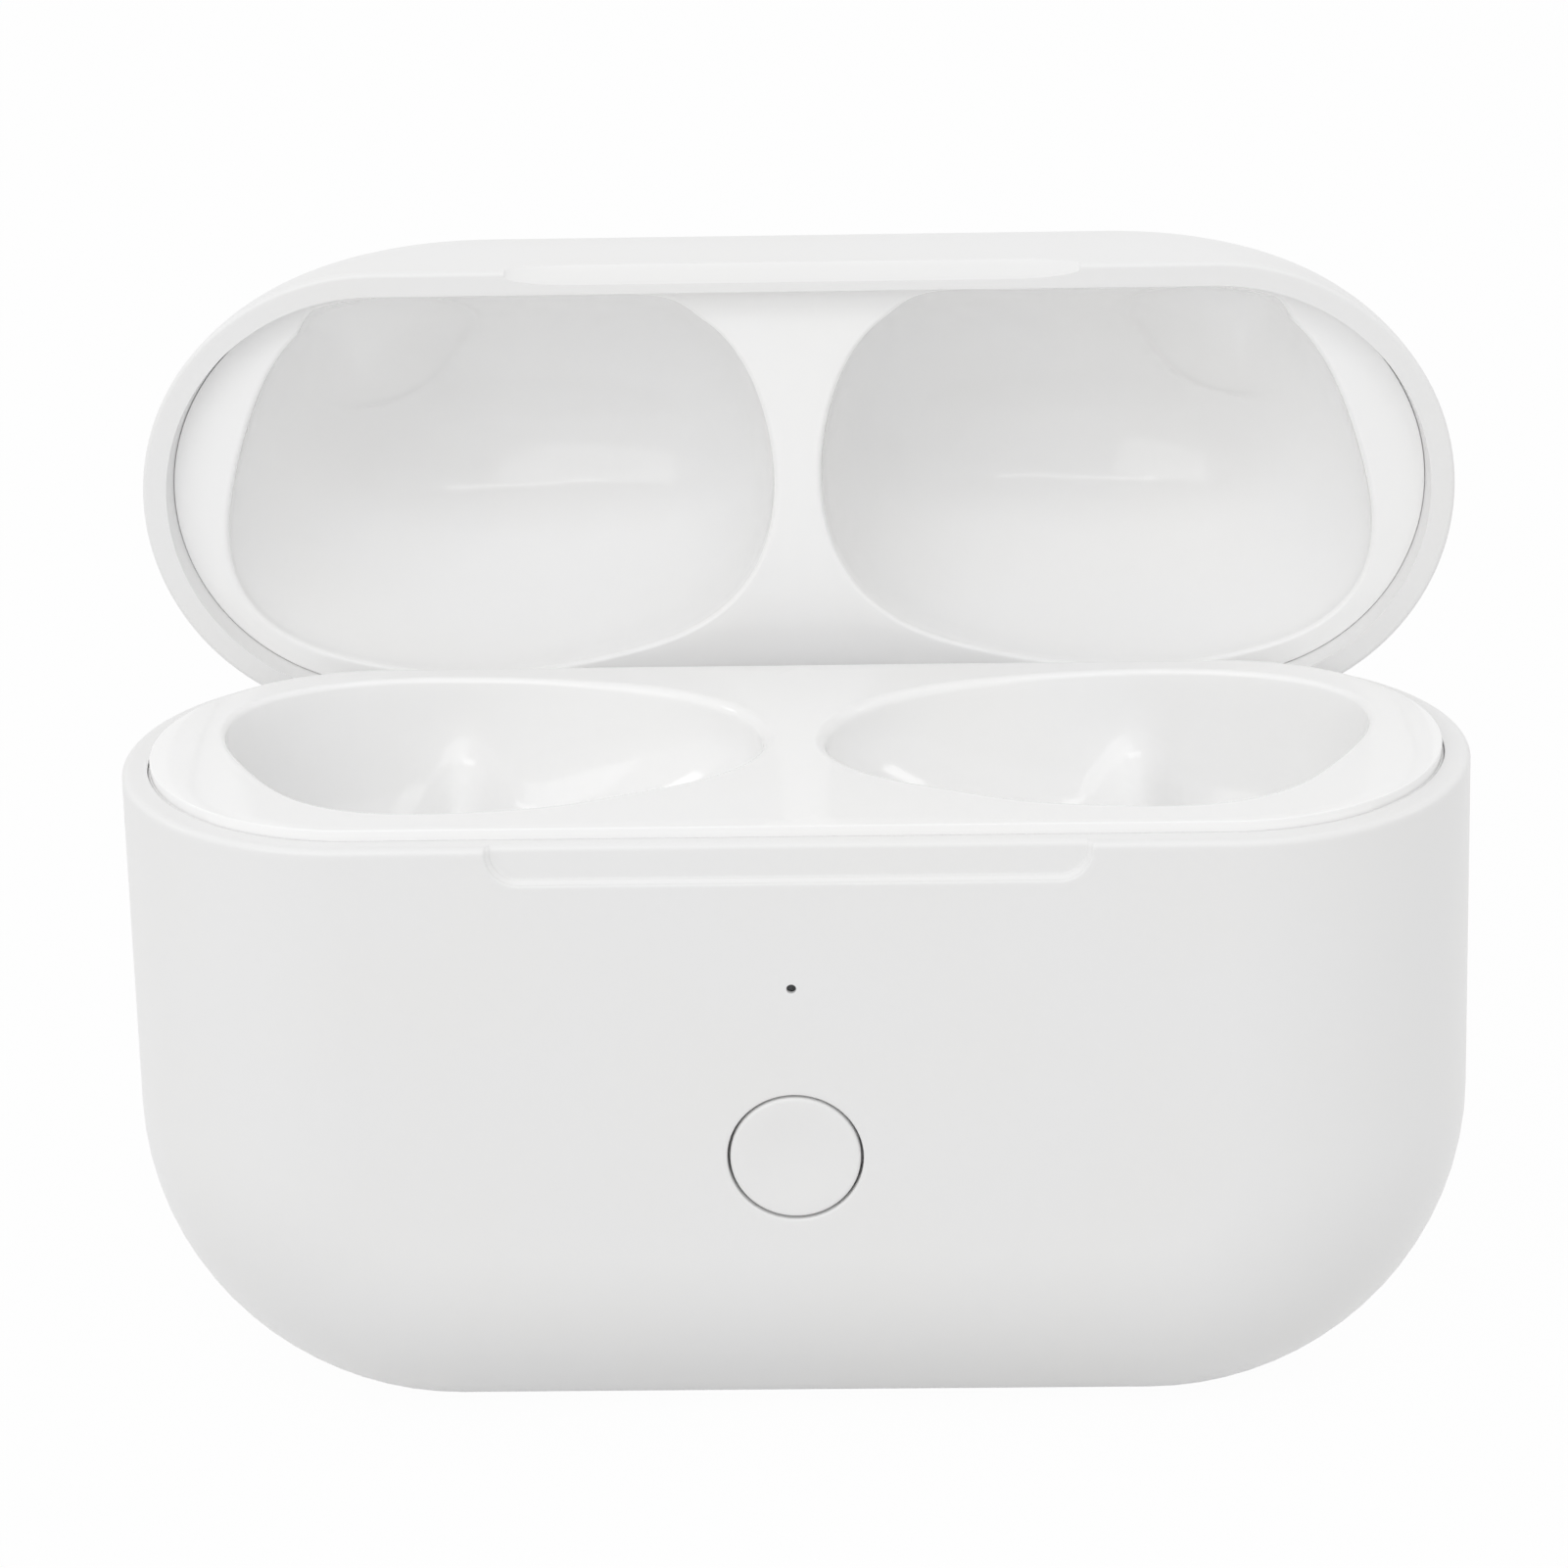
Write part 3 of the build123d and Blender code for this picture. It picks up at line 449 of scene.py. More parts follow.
def port_hole(skin, outer, inner):
    """Charge port in the foot: a shallow seat for the trim ring with a bevelled mouth, then the slot."""
    steps = (
        (PORT_SEAT + 0.20, 0.0),
        (PORT_SEAT + 0.05, 0.0),
        (PORT_SEAT, 0.05),
        (PORT_SEAT, PORT_SEAT_DEPTH),
        (0.0, PORT_SEAT_DEPTH),
        (0.0, FOOT_WALL),
    )
    loops = []
    for grown, z in steps:
        half_x, half_y = PORT_HALF[0] + grown, PORT_HALF[1] + grown
        loops.append(soft_box(half_x, half_y, z, half_y - (0.20 if grown else 0.10)))
    hole(skin, "port", loops, outer, inner, (0, 0), (0, 1))


def thumb_notch(skin, sheet):
    """Thumb notch: its section carried along its outline, the flat face round it and its own flat floor.

    Returns the points of its part of the rim.
    """
    centre_x, centre_z, out_x, out_z = notch_edge()
    out, deep = notch_profile()
    reach = NOTCH_CORNER + out[None, :]
    x, z = centre_x[:, None] + out_x[:, None] * reach, centre_z + out_z[:, None] * reach
    strip = stack(x, -HALF_DEPTH + deep[None, :], z)
    skin.grid(strip)
    around = np.concatenate([sheet[:-1, 0], sheet[-1], sheet[-2::-1, -1]])

    def bearing(row):
        """Angle about a centre a little above the rim, which rises along both rows."""
        return np.arctan2(row[:, 2] - centre_z - 1.0, row[:, 0])

    skin.zipped(around, strip[:, 0], bearing(around), bearing(strip[:, 0]))
    inside = strip[:, -1]
    floor_x = np.linspace(inside[0, 0], inside[-1, 0], 48)
    floor = stack(floor_x, -HALF_DEPTH + NOTCH_DEPTH, centre_z)
    skin.zipped(inside, floor, share_along(inside), share_along(floor))
    return np.concatenate([strip[0], floor[1:-1], strip[-1][::-1]])


def share_along(row):
    """How far each point is along x from the row's first to its last."""
    return (row[:, 0] - row[0, 0]) / (row[-1, 0] - row[0, 0])


def build_base_shell():
    """Outer moulding of the lower half, with its notch, its holes and the seat of the hinge."""
    skin = Skin()
    notch_low, notch_half = NOTCH_PATCH
    (light_low, light_high, light_half), button_high = LIGHT_PATCH, BUTTON_PATCH[1]
    breaks = [0, light_half, BUTTON_PATCH[2], PORT_PATCH[0], SEAT_HALF, notch_half, BASE.corner_x]
    half = lines(breaks, COLUMN_STEP)
    half = half[np.abs(half - SEAT_HALF) > SEAT_STEP / 10]
    columns = both_sides(np.sort(np.append(half, [SEAT_HALF - SEAT_STEP, SEAT_HALF + SEAT_STEP])))
    top = BASE_RIM - RIM_ROUND
    breaks = [BASE.corner_z, button_high, light_low, SINK_FROM, light_high, notch_low, top - 0.18, top]
    walls = lines(breaks, ROW_STEP)[::-1]
    arc = np.radians(np.linspace(0, 90, 19))
    heights = np.concatenate([walls, BASE.corner(0.0, arc[1:])[1]])

    def window(low, high, half_x):
        """Rows and columns of the front's grid that a hole takes."""
        across = [len(STRIPS) + nearest(columns, x) for x in (-half_x, half_x)]
        return (nearest(heights, high), nearest(heights, low)), across

    port_half, port_angle = PORT_PATCH
    port_rows = [nearest(columns, x) for x in (-port_half, port_half)]
    port_cuts = [nearest(EDGE, np.radians(angle)) for angle in (-port_angle, port_angle)]
    holes = {"port": (port_rows, port_cuts), "light": window(*LIGHT_PATCH), "button": window(*BUTTON_PATCH)}
    notched = holes | {"notch": window(notch_low, top, notch_half)}
    outer = base_skin(skin, HALF_DEPTH, columns, walls, arc, top, SINK_TO, 0.0, notched)
    inner_radius = HALF_DEPTH - BASE_WALL
    inner_walls = np.where(walls == top, BASE_RIM, walls)
    rear = seat_bottom(inner_radius)
    inner = base_skin(skin, inner_radius, columns, inner_walls, arc, BASE_RIM, rear, FOOT_WALL, holes)
    front_holes(skin, outer, inner, -inner_radius)
    port_hole(skin, outer, inner)
    notch_rim = thumb_notch(skin, outer["notch"])
    row = outer["front"]
    beside = np.abs(row[:, 0]) > notch_half - 1e-6
    left, right = row[beside & (row[:, 0] < 0)], row[beside & (row[:, 0] > 0)]
    rim_rows(skin, np.concatenate([left, notch_rim, right]), outer, inner)
    return skin.piece("base_shell_moulding")


def rim_rows(skin, front_row, outer, inner):
    """Rim of the base, rounded outside, flat on top and rolled about the hinge axis behind it.

    Round the outside the depth is d = r (1 - cos a) and the height rim - r (1 - sin a).
    """
    turn = np.linspace(0, PI / 2, 6)
    depth = np.concatenate([RIM_ROUND * (1 - np.cos(turn)), np.linspace(RIM_ROUND, RIM_FLAT_END, 6)[1:]])
    height = np.concatenate([BASE_RIM - RIM_ROUND * (1 - np.sin(turn)), np.full(5, BASE_RIM)])
    share = np.clip((depth - RIM_ROUND) / (RIM_FLAT_END - RIM_ROUND), 0, 1)[:, None]
    start = front_row[None, :, 1] + np.minimum(depth, RIM_ROUND)[:, None]
    front = stack(front_row[None, :, 0], mix(start, RIM_FLAT_END - HALF_DEPTH, share), height[:, None])
    skin.grid(front)
    skin.zipped(front[-1], inner["front"], share_along(front[-1]), share_along(inner["front"]))
    radius = HALF_DEPTH - depth[:, None]
    for side, name in ((-1, "left"), (1, "right")):
        x = side * (BASE.corner_x + BASE.plate_radius + radius * np.cos(EDGE))
        y = radius * np.sin(EDGE)
        rows = stack(x, y, base_top(x, y, height[:, None] + 0 * y))
        skin.grid(np.concatenate([rows, inner[name][None]]))
    x = outer["back"][None, :, 0] + 0 * radius
    rows = stack(x, radius, base_top(x, radius + 0 * x, height[:, None] + 0 * x))
    skin.grid(np.concatenate([rows, inner["back"][None]]))


# ---------------------------------------------------------------- lid shell
SCOOP_HALF = 13.10
SCOOP_END = 3.4
SCOOP_RISE = 1.00
SCOOP_BITE = 0.66
SCOOP_SAG = 0.13
LID_EDGE = 0.22
BESIDE_SCOOP = np.array([30.0])
FLANGE_SHARES = np.array([0.25, 0.6, 1.0])[:, None, None]


def scoop_share(x):
    """How much of the scoop is there: 1 in the middle, falling along an ellipse to 0 at its pointed ends."""
    past = np.clip((np.abs(x) - SCOOP_HALF + SCOOP_END) / SCOOP_END, 0, 1)
    return np.sqrt(1 - past**2)


def lid_section(x, steps=12):
    """Section of the lid's front rim as (depth, rise), between a small round-over and the hollow scoop.

    Over q from 0 to 1 the round-over is (e (1 - cos a), e (1 - sin a)) with a = q 90 degrees. The scoop is
    the straight line (bite q, rise (1 - q)) that sags at right angles by 4 sag q (1 - q).
    """
    q = np.linspace(0, 1, steps)[:, None]
    full = scoop_share(x)[None, :]
    turn = q * PI / 2
    plain_depth, plain_rise = LID_EDGE * (1 - np.cos(turn)), LID_EDGE * (1 - np.sin(turn))
    long = np.hypot(SCOOP_BITE, SCOOP_RISE)
    belly = 4 * SCOOP_SAG * q * (1 - q)
    scoop_depth = SCOOP_BITE * q + belly * SCOOP_RISE / long
    scoop_rise = SCOOP_RISE * (1 - q) + belly * SCOOP_BITE / long
    return mix(plain_depth, scoop_depth, full), mix(plain_rise, scoop_rise, full)


def lid_skin(skin, radius, columns, turns, rise):
    """One skin of the shut lid at a distance radius, its first row at rim + rise(x)."""
    edge = EDGE[None, :]
    reach, y = radius * np.cos(edge), radius * np.sin(edge)
    lowest = LID_RIM + rise(BESIDE_SCOOP)[0]
    start = np.arcsin((lowest - LID.corner_z) / (LID.plate_radius + reach))
    x, z = LID.corner(reach, mix(start, PI / 2, turns[:, None]))
    side = stack(x, y, z)
    left = side * MIRROR
    over = stack(columns[1:-1, None], y, LID.end(reach))
    skin.grid(np.concatenate([left, over, side[::-1]]))
    plate_top = LID.end(0.0)
    heights = side[:, 0, 2]
    x = LID.front_lines(columns, heights, STRIPS)
    rows = {"right": side[0], "left": left[0]}
    for face, place in (("front", -radius), ("back", radius)):
        first = LID_RIM + (rise(x[0]) if face == "front" else np.full(x.shape[1], lowest - LID_RIM))
        z = plate_top - (plate_top - heights[:, None]) * (plate_top - first) / (plate_top - heights[0])
        sheet = stack(x, place, z)
        skin.grid(sheet)
        rows[face] = sheet[0]
    return rows


def spread_strips(x, z):
    """A row's x, its part past corner_x spread anew between there and the plate's edge at height z."""
    share = np.clip((np.abs(x) - LID.corner_x) / (np.abs(x[:, -1:]) - LID.corner_x), 0, 1)
    return np.where(np.abs(x) > LID.corner_x, np.sign(x) * mix(LID.corner_x, LID.side(0.0, z), share), x)


def flanged(skin, rows, inner_row):
    """Adds the rows of the rim's section, and the flat flange from their last one to the inner skin."""
    skin.grid(np.concatenate([rows, mix(rows[-1], inner_row, FLANGE_SHARES)]))


def build_lid_shell():
    """Outer moulding of the lid with the thumb scoop in its front rim, turned open."""
    skin = Skin()
    ends = SCOOP_HALF - SCOOP_END * (1 - np.sin(np.linspace(0, PI / 2, 16)[1:]))
    middle = lines([0, 7, SCOOP_HALF - SCOOP_END], COLUMN_STEP)
    columns = both_sides(np.concatenate([middle, ends, [13.6, LID.corner_x]]))
    turns = np.concatenate([[0.0, 0.02, 0.05], np.linspace(0.09, 1, 24)])
    outer = lid_skin(skin, HALF_DEPTH, columns, turns, lambda x: lid_section(x)[1][0])
    inner = lid_skin(skin, HALF_DEPTH - LID_WALL, columns, turns, lambda x: 0.0 * x)
    depth, rise = lid_section(outer["front"][:, 0])
    z = LID_RIM + rise
    x = spread_strips(outer["front"][None, :, 0] + 0 * depth, z)
    flanged(skin, stack(x, -HALF_DEPTH + depth, z), inner["front"])
    depth, rise = lid_section(BESIDE_SCOOP)
    radius, z = HALF_DEPTH - depth, LID_RIM + rise
    for side, name in ((-1, "left"), (1, "right")):
        flanged(skin, stack(side * LID.side(radius * np.cos(EDGE), z), radius * np.sin(EDGE), z), inner[name])
    x = spread_strips(outer["back"][None, :, 0] + 0 * depth, z)
    flanged(skin, stack(x, radius, z), inner["back"])
    skin.open()
    return skin.piece("lid_shell_moulding")


# ---------------------------------------------------------------- wells and pockets
def wave_radius(waves, angle):
    """r = w0 + w1 cos a + w2 sin a + w3 cos 2a + w4 sin 2a + ..., an egg-shaped outline about its centre."""
    order = np.arange(1, (len(waves) + 1) // 2)
    turn = order * np.asarray(angle)[..., None]
    waves = np.asarray(waves)
    return waves[0] + (np.cos(turn) * waves[1::2] + np.sin(turn) * waves[2::2]).sum(-1)


def half_section(side_of, half, count=1200):
    """Right half of a section as (x, y): x = side_of(y) between y = -half and half, then back along x = 0."""
    y = half * np.sin(np.linspace(-PI / 2, PI / 2, count))
    across = np.linspace(1, 0, count)[1:] * side_of(half)
    inwards = np.linspace(half, -half, count)[1:]
    end = np.stack([side_of(y), y], -1)
    rear = np.stack([across, half + 0 * across], -1)
    middle = np.stack([0 * inwards, inwards], -1)
    front = np.stack([across[::-1][1:], -half + 0 * across[1:]], -1)
    return np.concatenate([end, rear, middle, front])


def reach_of(section, centre, angle):
    """Distance from centre to a section's outline along each angle."""
    out = section - centre
    turn = np.mod(np.arctan2(out[:, 1], out[:, 0]), 2 * PI)
    order = np.argsort(turn)
    return np.interp(np.mod(angle, 2 * PI), turn[order], np.hypot(*out[order].T), period=2 * PI)


class Spokes:
    """Lines from a centre to the outline of half the case, with two that end in the corners on x = 0.

    The first ones run from the front corner round the outer end to the back corner, the rest along x = 0.
    """

    def __init__(self, centre, outer, middle):
        self.centre = np.array(centre)
        self.outer = outer
        self.middle = middle

    def angles(self, half):
        """Angles whose ends meet the corners (0, -half) and (0, half)."""
        a = np.arctan2(-half - self.centre[1], -self.centre[0])
        b = np.arctan2(half - self.centre[1], -self.centre[0])
        first = mix(a, b, np.linspace(0, 1, self.outer))
        return np.concatenate([first, mix(b, a + 2 * PI, np.linspace(0, 1, self.middle)[1:-1])])

    def out(self, radius, angle):
        """Points (x, y) at a distance from the centre."""
        return self.centre + radius[:, None] * unit(angle)

    def rim(self, side_of, half):
        """Points (x, y) on a section's outline, and exactly on x = 0 between its corners."""
        angle = self.angles(half)
        flat = self.out(reach_of(half_section(side_of, half), self.centre, angle), angle)
        flat[self.outer :, 0] = 0.0
        flat[[0, self.outer - 1]] = [[0.0, -half], [0.0, half]]
        return flat


def unit(angle):
    """(cos, sin) of each angle."""
    return np.stack([np.cos(angle), np.sin(angle)], -1)


def rows_between(a, b, shares):
    """Rows of points from a to b."""
    return mix(a[None], b[None], np.asarray(shares)[:, None, None])


def lift(flat, z):
    """Points from (x, y) and heights."""
    return stack(flat[..., 0], flat[..., 1], z)


# ---------------------------------------------------------------- cradle
WELL_CENTRE = (13.7, 0.3)
WELL_WAVES = (
    9.795, 0.366, 0.376, 2.064, 0.049, -0.398, 0.400, 0.179, 0.145,
    -0.191, 0.151, 0.015, 0.102, -0.028, 0.007, -0.012, 0.032,
)  # fmt: skip
BORE = np.array([20.0, 0.4])
BORE_RADIUS = 3.2
BORE_FLOOR = 6.90
BORE_FOOT = 1.2
BORE_FOOT_ROUND = 0.4
BORE_MOUTH_ROUND = 0.9
CRADLE_HALF = 9.69
CRADLE_WALL = 0.90
CRADLE_ROUND = 0.07
DECK_WALL = 1.0
WELL_COLLAR = 0.12
LIP_FOOT = BASE_RIM - 0.02
SKIRT_TOP = BASE_RIM - 0.15
SKIRT_FOOT = LIP_TOP - 4.0


def stadium(half):
    """x of a round-ended section, a shade flatter than round: x = 19.45 + 0.998 sqrt(half^2 - y^2)."""
    return lambda y: BASE.corner_x + BASE.plate_radius + 0.998 * np.sqrt(np.maximum(half**2 - y**2, 0.0))


def lip_side(half):
    """x of the lip's section: the base's round end, kept inside the shut lid's wall."""
    return lambda y: np.minimum(stadium(half)(y), lid_section_side(half + 0.02, LIP_TOP)(y))


def bore_ring(angle, radius, z):
    """Loop about the bore's axis."""
    return lift(BORE + radius * unit(angle), z)


def well_depth(flat, deepest):
    """Depth below the deck: a bowl for the bud, parted from the stem's bore by a rounded saddle."""
    x, y = flat[..., 0], flat[..., 1]
    saddle_x, saddle_width, saddle_rise = 15.9, 1.9, 2.9
    saddle = saddle_rise * np.exp(-(((x - saddle_x + 0.05 * y) / saddle_width) ** 2))
    inner_rise = 1.2 * ease(9.0, 2.0, x)
    return deepest - saddle - inner_rise


def well_height(flat, s, rounding, power, deepest):
    """z = top - rounding - (depth - rounding) (1 - s^n)^(1/n), s from 0 at the bore to 1 at the outline."""
    fall = (1 - s**power) ** (1 / power)
    return LIP_TOP - rounding - (well_depth(flat, deepest) - rounding) * fall


def build_cradle(deepest):
    """Inner moulding of the base: deck with a raised lip, two wells, a bore in each for the earbud's stem."""
    skin = Skin()
    spokes = Spokes(WELL_CENTRE, 190, 44)
    half = CRADLE_HALF - CRADLE_ROUND
    angle = spokes.angles(half)
    inward = ease(0.15, 1.0, -np.cos(angle))
    rounding = mix(0.28, 0.50, inward)
    power = mix(3.0, 2.1, inward)
    cradle_top(skin, spokes, half, rounding, power, deepest)
    cradle_back(skin, spokes, half, rounding, power, deepest)
    skin.mirror()
    return skin.piece("base_cradle_moulding")


def cradle_top(skin, spokes, half, rounding, power, deepest):
    """What is seen from above: the bore, the bowl, its edge's quarter round, and the deck out to the lip."""
    angle = spokes.angles(half)
    radius = wave_radius(WELL_WAVES, angle)
    shares = np.concatenate([np.linspace(0, 0.94, 34), 1 - 0.06 * (1 - np.linspace(0, 1, 12)[1:]) ** 2])
    flat = rows_between(BORE + BORE_RADIUS * unit(angle), spokes.out(radius, angle), shares)
    from_bore = np.hypot(flat[..., 0] - BORE[0], flat[..., 1] - BORE[1]) - BORE_RADIUS
    mouth = BORE_MOUTH_ROUND
    lip = mouth - np.sqrt(np.maximum(mouth**2 - np.clip(mouth - from_bore, 0, mouth) ** 2, 0.0))
    bowl = lift(flat, well_height(flat, shares[:, None], rounding, power, deepest) - lip)

    r = BORE_FOOT_ROUND
    turn = np.linspace(0, PI / 2, 5)[:-1]
    floor = [bore_ring(angle, across, BORE_FLOOR) for across in (0.0, 1.4)]
    steps = zip(BORE_RADIUS - r * (1 - np.sin(turn)), BORE_FLOOR + r * (1 - np.cos(turn)))
    foot = [bore_ring(angle, across, z) for across, z in steps]
    wall = rows_between(bore_ring(angle, BORE_RADIUS, BORE_FLOOR + r), bowl[0], np.linspace(0, 1, 7))
    turn = np.linspace(PI / 2, 0, 8)[1:]
    rim = [
        lift(spokes.out(radius + rounding * (1 - np.sin(a)), angle), LIP_TOP - rounding * (1 - np.cos(a)))
        for a in turn
    ]
    edge = lift(spokes.rim(lip_side(half), half), LIP_TOP)
    collar = lift(spokes.out(radius + rounding + WELL_COLLAR, angle), LIP_TOP)
    skin.rings(*floor, *foot, *wall, *bowl[1:], *rim, *rows_between(collar, edge, np.linspace(0, 1, 5)))


def cradle_back(skin, spokes, half, rounding, power, deepest):
    """What is hidden: the skirt's two sides, and the back of the deck, the bowl and the bore, a wall away."""

    def outer_row(radius, z, section=lip_side):
        """The outer part of a section's outline at a height."""
        return lift(spokes.rim(section(radius), radius)[: spokes.outer], z)

    inner_half = CRADLE_HALF - CRADLE_WALL
    turn = np.linspace(0, PI / 2, 6)
    flat = spokes.rim(stadium(inner_half), inner_half)
    angle = spokes.angles(inner_half)
    limit = reach_of(half_section(stadium(inner_half), inner_half), spokes.centre, angle)
    grown = wave_radius(WELL_WAVES, angle) + CRADLE_WALL
    merged = ease(-0.5, 0.0, grown - limit)
    merged[spokes.outer :] = 0.0
    merged[[0, spokes.outer - 1]] = 0.0
    plate = mix(LIP_TOP - DECK_WALL, SKIRT_FOOT, merged)
    r = CRADLE_ROUND
    rows = [outer_row(half + r * np.sin(a), LIP_TOP - r * (1 - np.cos(a))) for a in turn]
    rows += [outer_row(CRADLE_HALF, LIP_FOOT), outer_row(CRADLE_HALF, SKIRT_TOP, stadium)]
    rows += [outer_row(CRADLE_HALF, SKIRT_FOOT, stadium), lift(flat[: spokes.outer], SKIRT_FOOT)]
    rows += [lift(flat[: spokes.outer], plate[: spokes.outer])]
    skin.grid(np.stack(rows))
    outline = spokes.out(np.minimum(grown, limit), angle)
    outline[spokes.outer :, 0] = np.maximum(outline[spokes.outer :, 0], 0.2)
    top_angle = spokes.angles(half)
    bore_radius = BORE_RADIUS + CRADLE_WALL
    shares = np.concatenate([np.linspace(1, 0.94, 6), np.linspace(0.92, 0, 16)])
    below = rows_between(BORE + bore_radius * unit(top_angle), outline, shares)
    height = np.minimum(well_height(below, shares[:, None], rounding, power, deepest) - CRADLE_WALL, plate)
    foot = [bore_ring(top_angle, across, BORE_FLOOR - BORE_FOOT) for across in (bore_radius, 0.0)]
    skin.rings(lift(flat, plate), lift(outline, plate), *lift(below, height), *foot)


# ---------------------------------------------------------------- lid liner
POCKET_CENTRE = (14.0, -0.3)
POCKET_WAVES = (
    11.107, -0.186, 0.116, 1.884, 0.353, -0.170, 0.020, -0.314, 0.166, -0.003,
    0.197, -0.150, 0.016, -0.001, 0.072, 0.011, -0.019, -0.020, -0.031,
)  # fmt: skip
POCKET_FRONT = 9.28
# The facet's plane has the height a x + b y + c, and its crown is a bump round one place.
POCKET_FACET = (-0.6995, 0.9644, 55.63)
FACET_CROWN = 0.65
FACET_CROWN_PLACE = (16.6, -3.9)
FACET_CROWN_SPREAD = 4.5
FACET_SOFTNESS = 0.12
GROOVE_DEPTH = 0.08
GROOVE_WIDTH = 0.17
LINER_FACE = LID_RIM + 1.30
LINER_BACK = LINER_FACE + 1.0
LINER_HALF = 9.72
LINER_WALL = 0.42
LINER_ROUND = 0.05


def lid_section_side(half, z):
    """x of the lid's body at a height, as a function of y."""
    return lambda y: LID.side(np.sqrt(np.maximum(half**2 - y**2, 0.0)), z)


def lid_inside(x, y, half):
    """Height of the lid's rounded body of half depth over (x, y)."""
    out = LID.plate_radius + np.sqrt(np.maximum(half**2 - y**2, 0.0))
    past = np.maximum(np.abs(x) - LID.corner_x, 0.0)
    return LID.corner_z + np.sqrt(np.maximum(out**2 - past**2, 0.0))


def pocket_radius(angle):
    """The pocket's outline, which runs on under the rim along the front to a straight line."""
    radius = wave_radius(POCKET_WAVES, angle)
    under = (POCKET_FRONT + POCKET_CENTRE[1]) / np.maximum(-np.sin(angle), 0.2)
    return mix(radius, np.maximum(under, radius), ease(-0.62, -0.86, np.sin(angle)))


def pocket_height(flat, s, half, power=2.7):
    """Height above the face: the lid's inner form times (1 - s^n)^(1/n)."""
    roof = np.maximum(lid_inside(flat[..., 0], flat[..., 1], half), LINER_FACE + 0.2)
    return LINER_FACE + (roof - LINER_FACE) * (1 - s**power) ** (1 / power)


def facet_height(x, y):
    """Height of the facet in a pocket's front outer corner: a sloping plane, crowned on its inner side."""
    crown_x, crown_y = FACET_CROWN_PLACE
    crown = FACET_CROWN * np.exp(-((x - crown_x) ** 2 + (y - crown_y) ** 2) / FACET_CROWN_SPREAD)
    return POCKET_FACET[2] + POCKET_FACET[0] * x + POCKET_FACET[1] * y + crown


def faceted(flat, z):
    """Heights of the bowl, cut down to the facet with a soft corner and a fine groove along the facet's edge.

    With h the height above the facet and n = sqrt(h^2 + softness^2), the cut is (h + n) / 2 - (n - |h|) / 4
    less the groove. It fades towards the pocket's outer end and towards its outline.
    """
    over = z - facet_height(flat[..., 0], flat[..., 1])
    inside = 1 - ease(20.4, 23.6, flat[..., 0])
    near = np.hypot(over, FACET_SOFTNESS)
    groove = GROOVE_DEPTH * np.exp(-((over / GROOVE_WIDTH) ** 2)) * ease(22.0, 20.6, flat[..., 0])
    cut = 0.5 * (over + near) - 0.25 * (near - abs(over)) - groove
    return z - cut * inside * ease(LINER_FACE + 0.2, LINER_FACE + 1.5, z)


def build_liner():
    """Inner moulding of the lid with its two pockets, each cut by a flat facet in the front outer corner."""
    skin = Skin()
    spokes = Spokes(POCKET_CENTRE, 200, 44)
    liner_pocket(skin, spokes)
    liner_back(skin, spokes)
    skin.mirror()
    skin.open()
    return skin.piece("lid_liner_moulding")


def liner_pocket(skin, spokes):
    """What is seen: the pocket, its edge with a quarter round, and the face out to the liner's own edge."""
    half = LINER_HALF - LINER_ROUND
    angle = spokes.angles(half)
    rounding = mix(0.25, 0.05, ease(-0.80, -0.94, np.sin(angle)))
    inner_half = LINER_HALF - LINER_WALL
    limit_half = inner_half - 0.01
    section = half_section(lid_section_side(limit_half, LINER_FACE + 0.25), limit_half)
    radius = np.minimum(pocket_radius(angle), reach_of(section, spokes.centre, angle))
    shares = np.concatenate([np.linspace(0, 0.88, 78), 1 - 0.12 * (1 - np.linspace(0, 1, 24)[1:]) ** 1.6])
    s = shares[:, None] + 0 * angle
    flat = spokes.centre + (s * radius)[..., None] * unit(angle)
    bowl = lift(flat, faceted(flat, pocket_height(flat, s, inner_half)) + rounding * ease(0.6, 1.0, s))
    bowl[0] = bowl[0].mean(0)
    turn = np.linspace(PI / 2, 0, 7)[1:]
    rim = [
        lift(spokes.out(radius + rounding * (1 - np.sin(a)), angle), LINER_FACE + rounding * (1 - np.cos(a)))
        for a in turn
    ]
    edge = lift(spokes.rim(lid_section_side(half, LINER_FACE), half), LINER_FACE)
    skin.rings(*bowl, *rim, *rows_between(rim[-1], edge, np.linspace(0, 1, 6)[1:]))


def liner_back(skin, spokes):
    """What is hidden: the edge's round, a short outer wall, and the back of the pocket a wall away."""

    def outer_row(radius, z):
        """The outer part of the lid's section at a height."""
        return lift(spokes.rim(lid_section_side(radius, z), radius)[: spokes.outer], z)

    turn = np.linspace(0, PI / 2, 5)
    inset, edge = LINER_HALF - LINER_ROUND, LINER_ROUND
    rows = [outer_row(inset + edge * np.sin(a), LINER_FACE + edge * (1 - np.cos(a))) for a in turn]
    rows += [outer_row(LINER_HALF, z) for z in (LINER_FACE + 0.5, LINER_BACK)]
    skin.grid(np.stack(rows))
    back_side = lid_section_side(LINER_HALF, LINER_BACK)
    back = spokes.rim(back_side, LINER_HALF)
    angle = spokes.angles(LINER_HALF)
    limit = reach_of(half_section(back_side, LINER_HALF), spokes.centre, angle)
    grown = np.minimum(pocket_radius(angle) + LINER_WALL, limit - 0.01)
    shares = np.concatenate([np.linspace(1, 0.94, 6), np.linspace(0.90, 0, 16)])[:, None]
    flat = spokes.centre + (shares * grown)[..., None] * unit(angle)
    shell = lift(flat, np.maximum(pocket_height(flat, shares + 0 * grown, LINER_HALF), LINER_BACK))
    shell[-1] = shell[-1].mean(0)
    skin.rings(lift(back, LINER_BACK), lift(flat[0], LINER_BACK), *shell[1:])


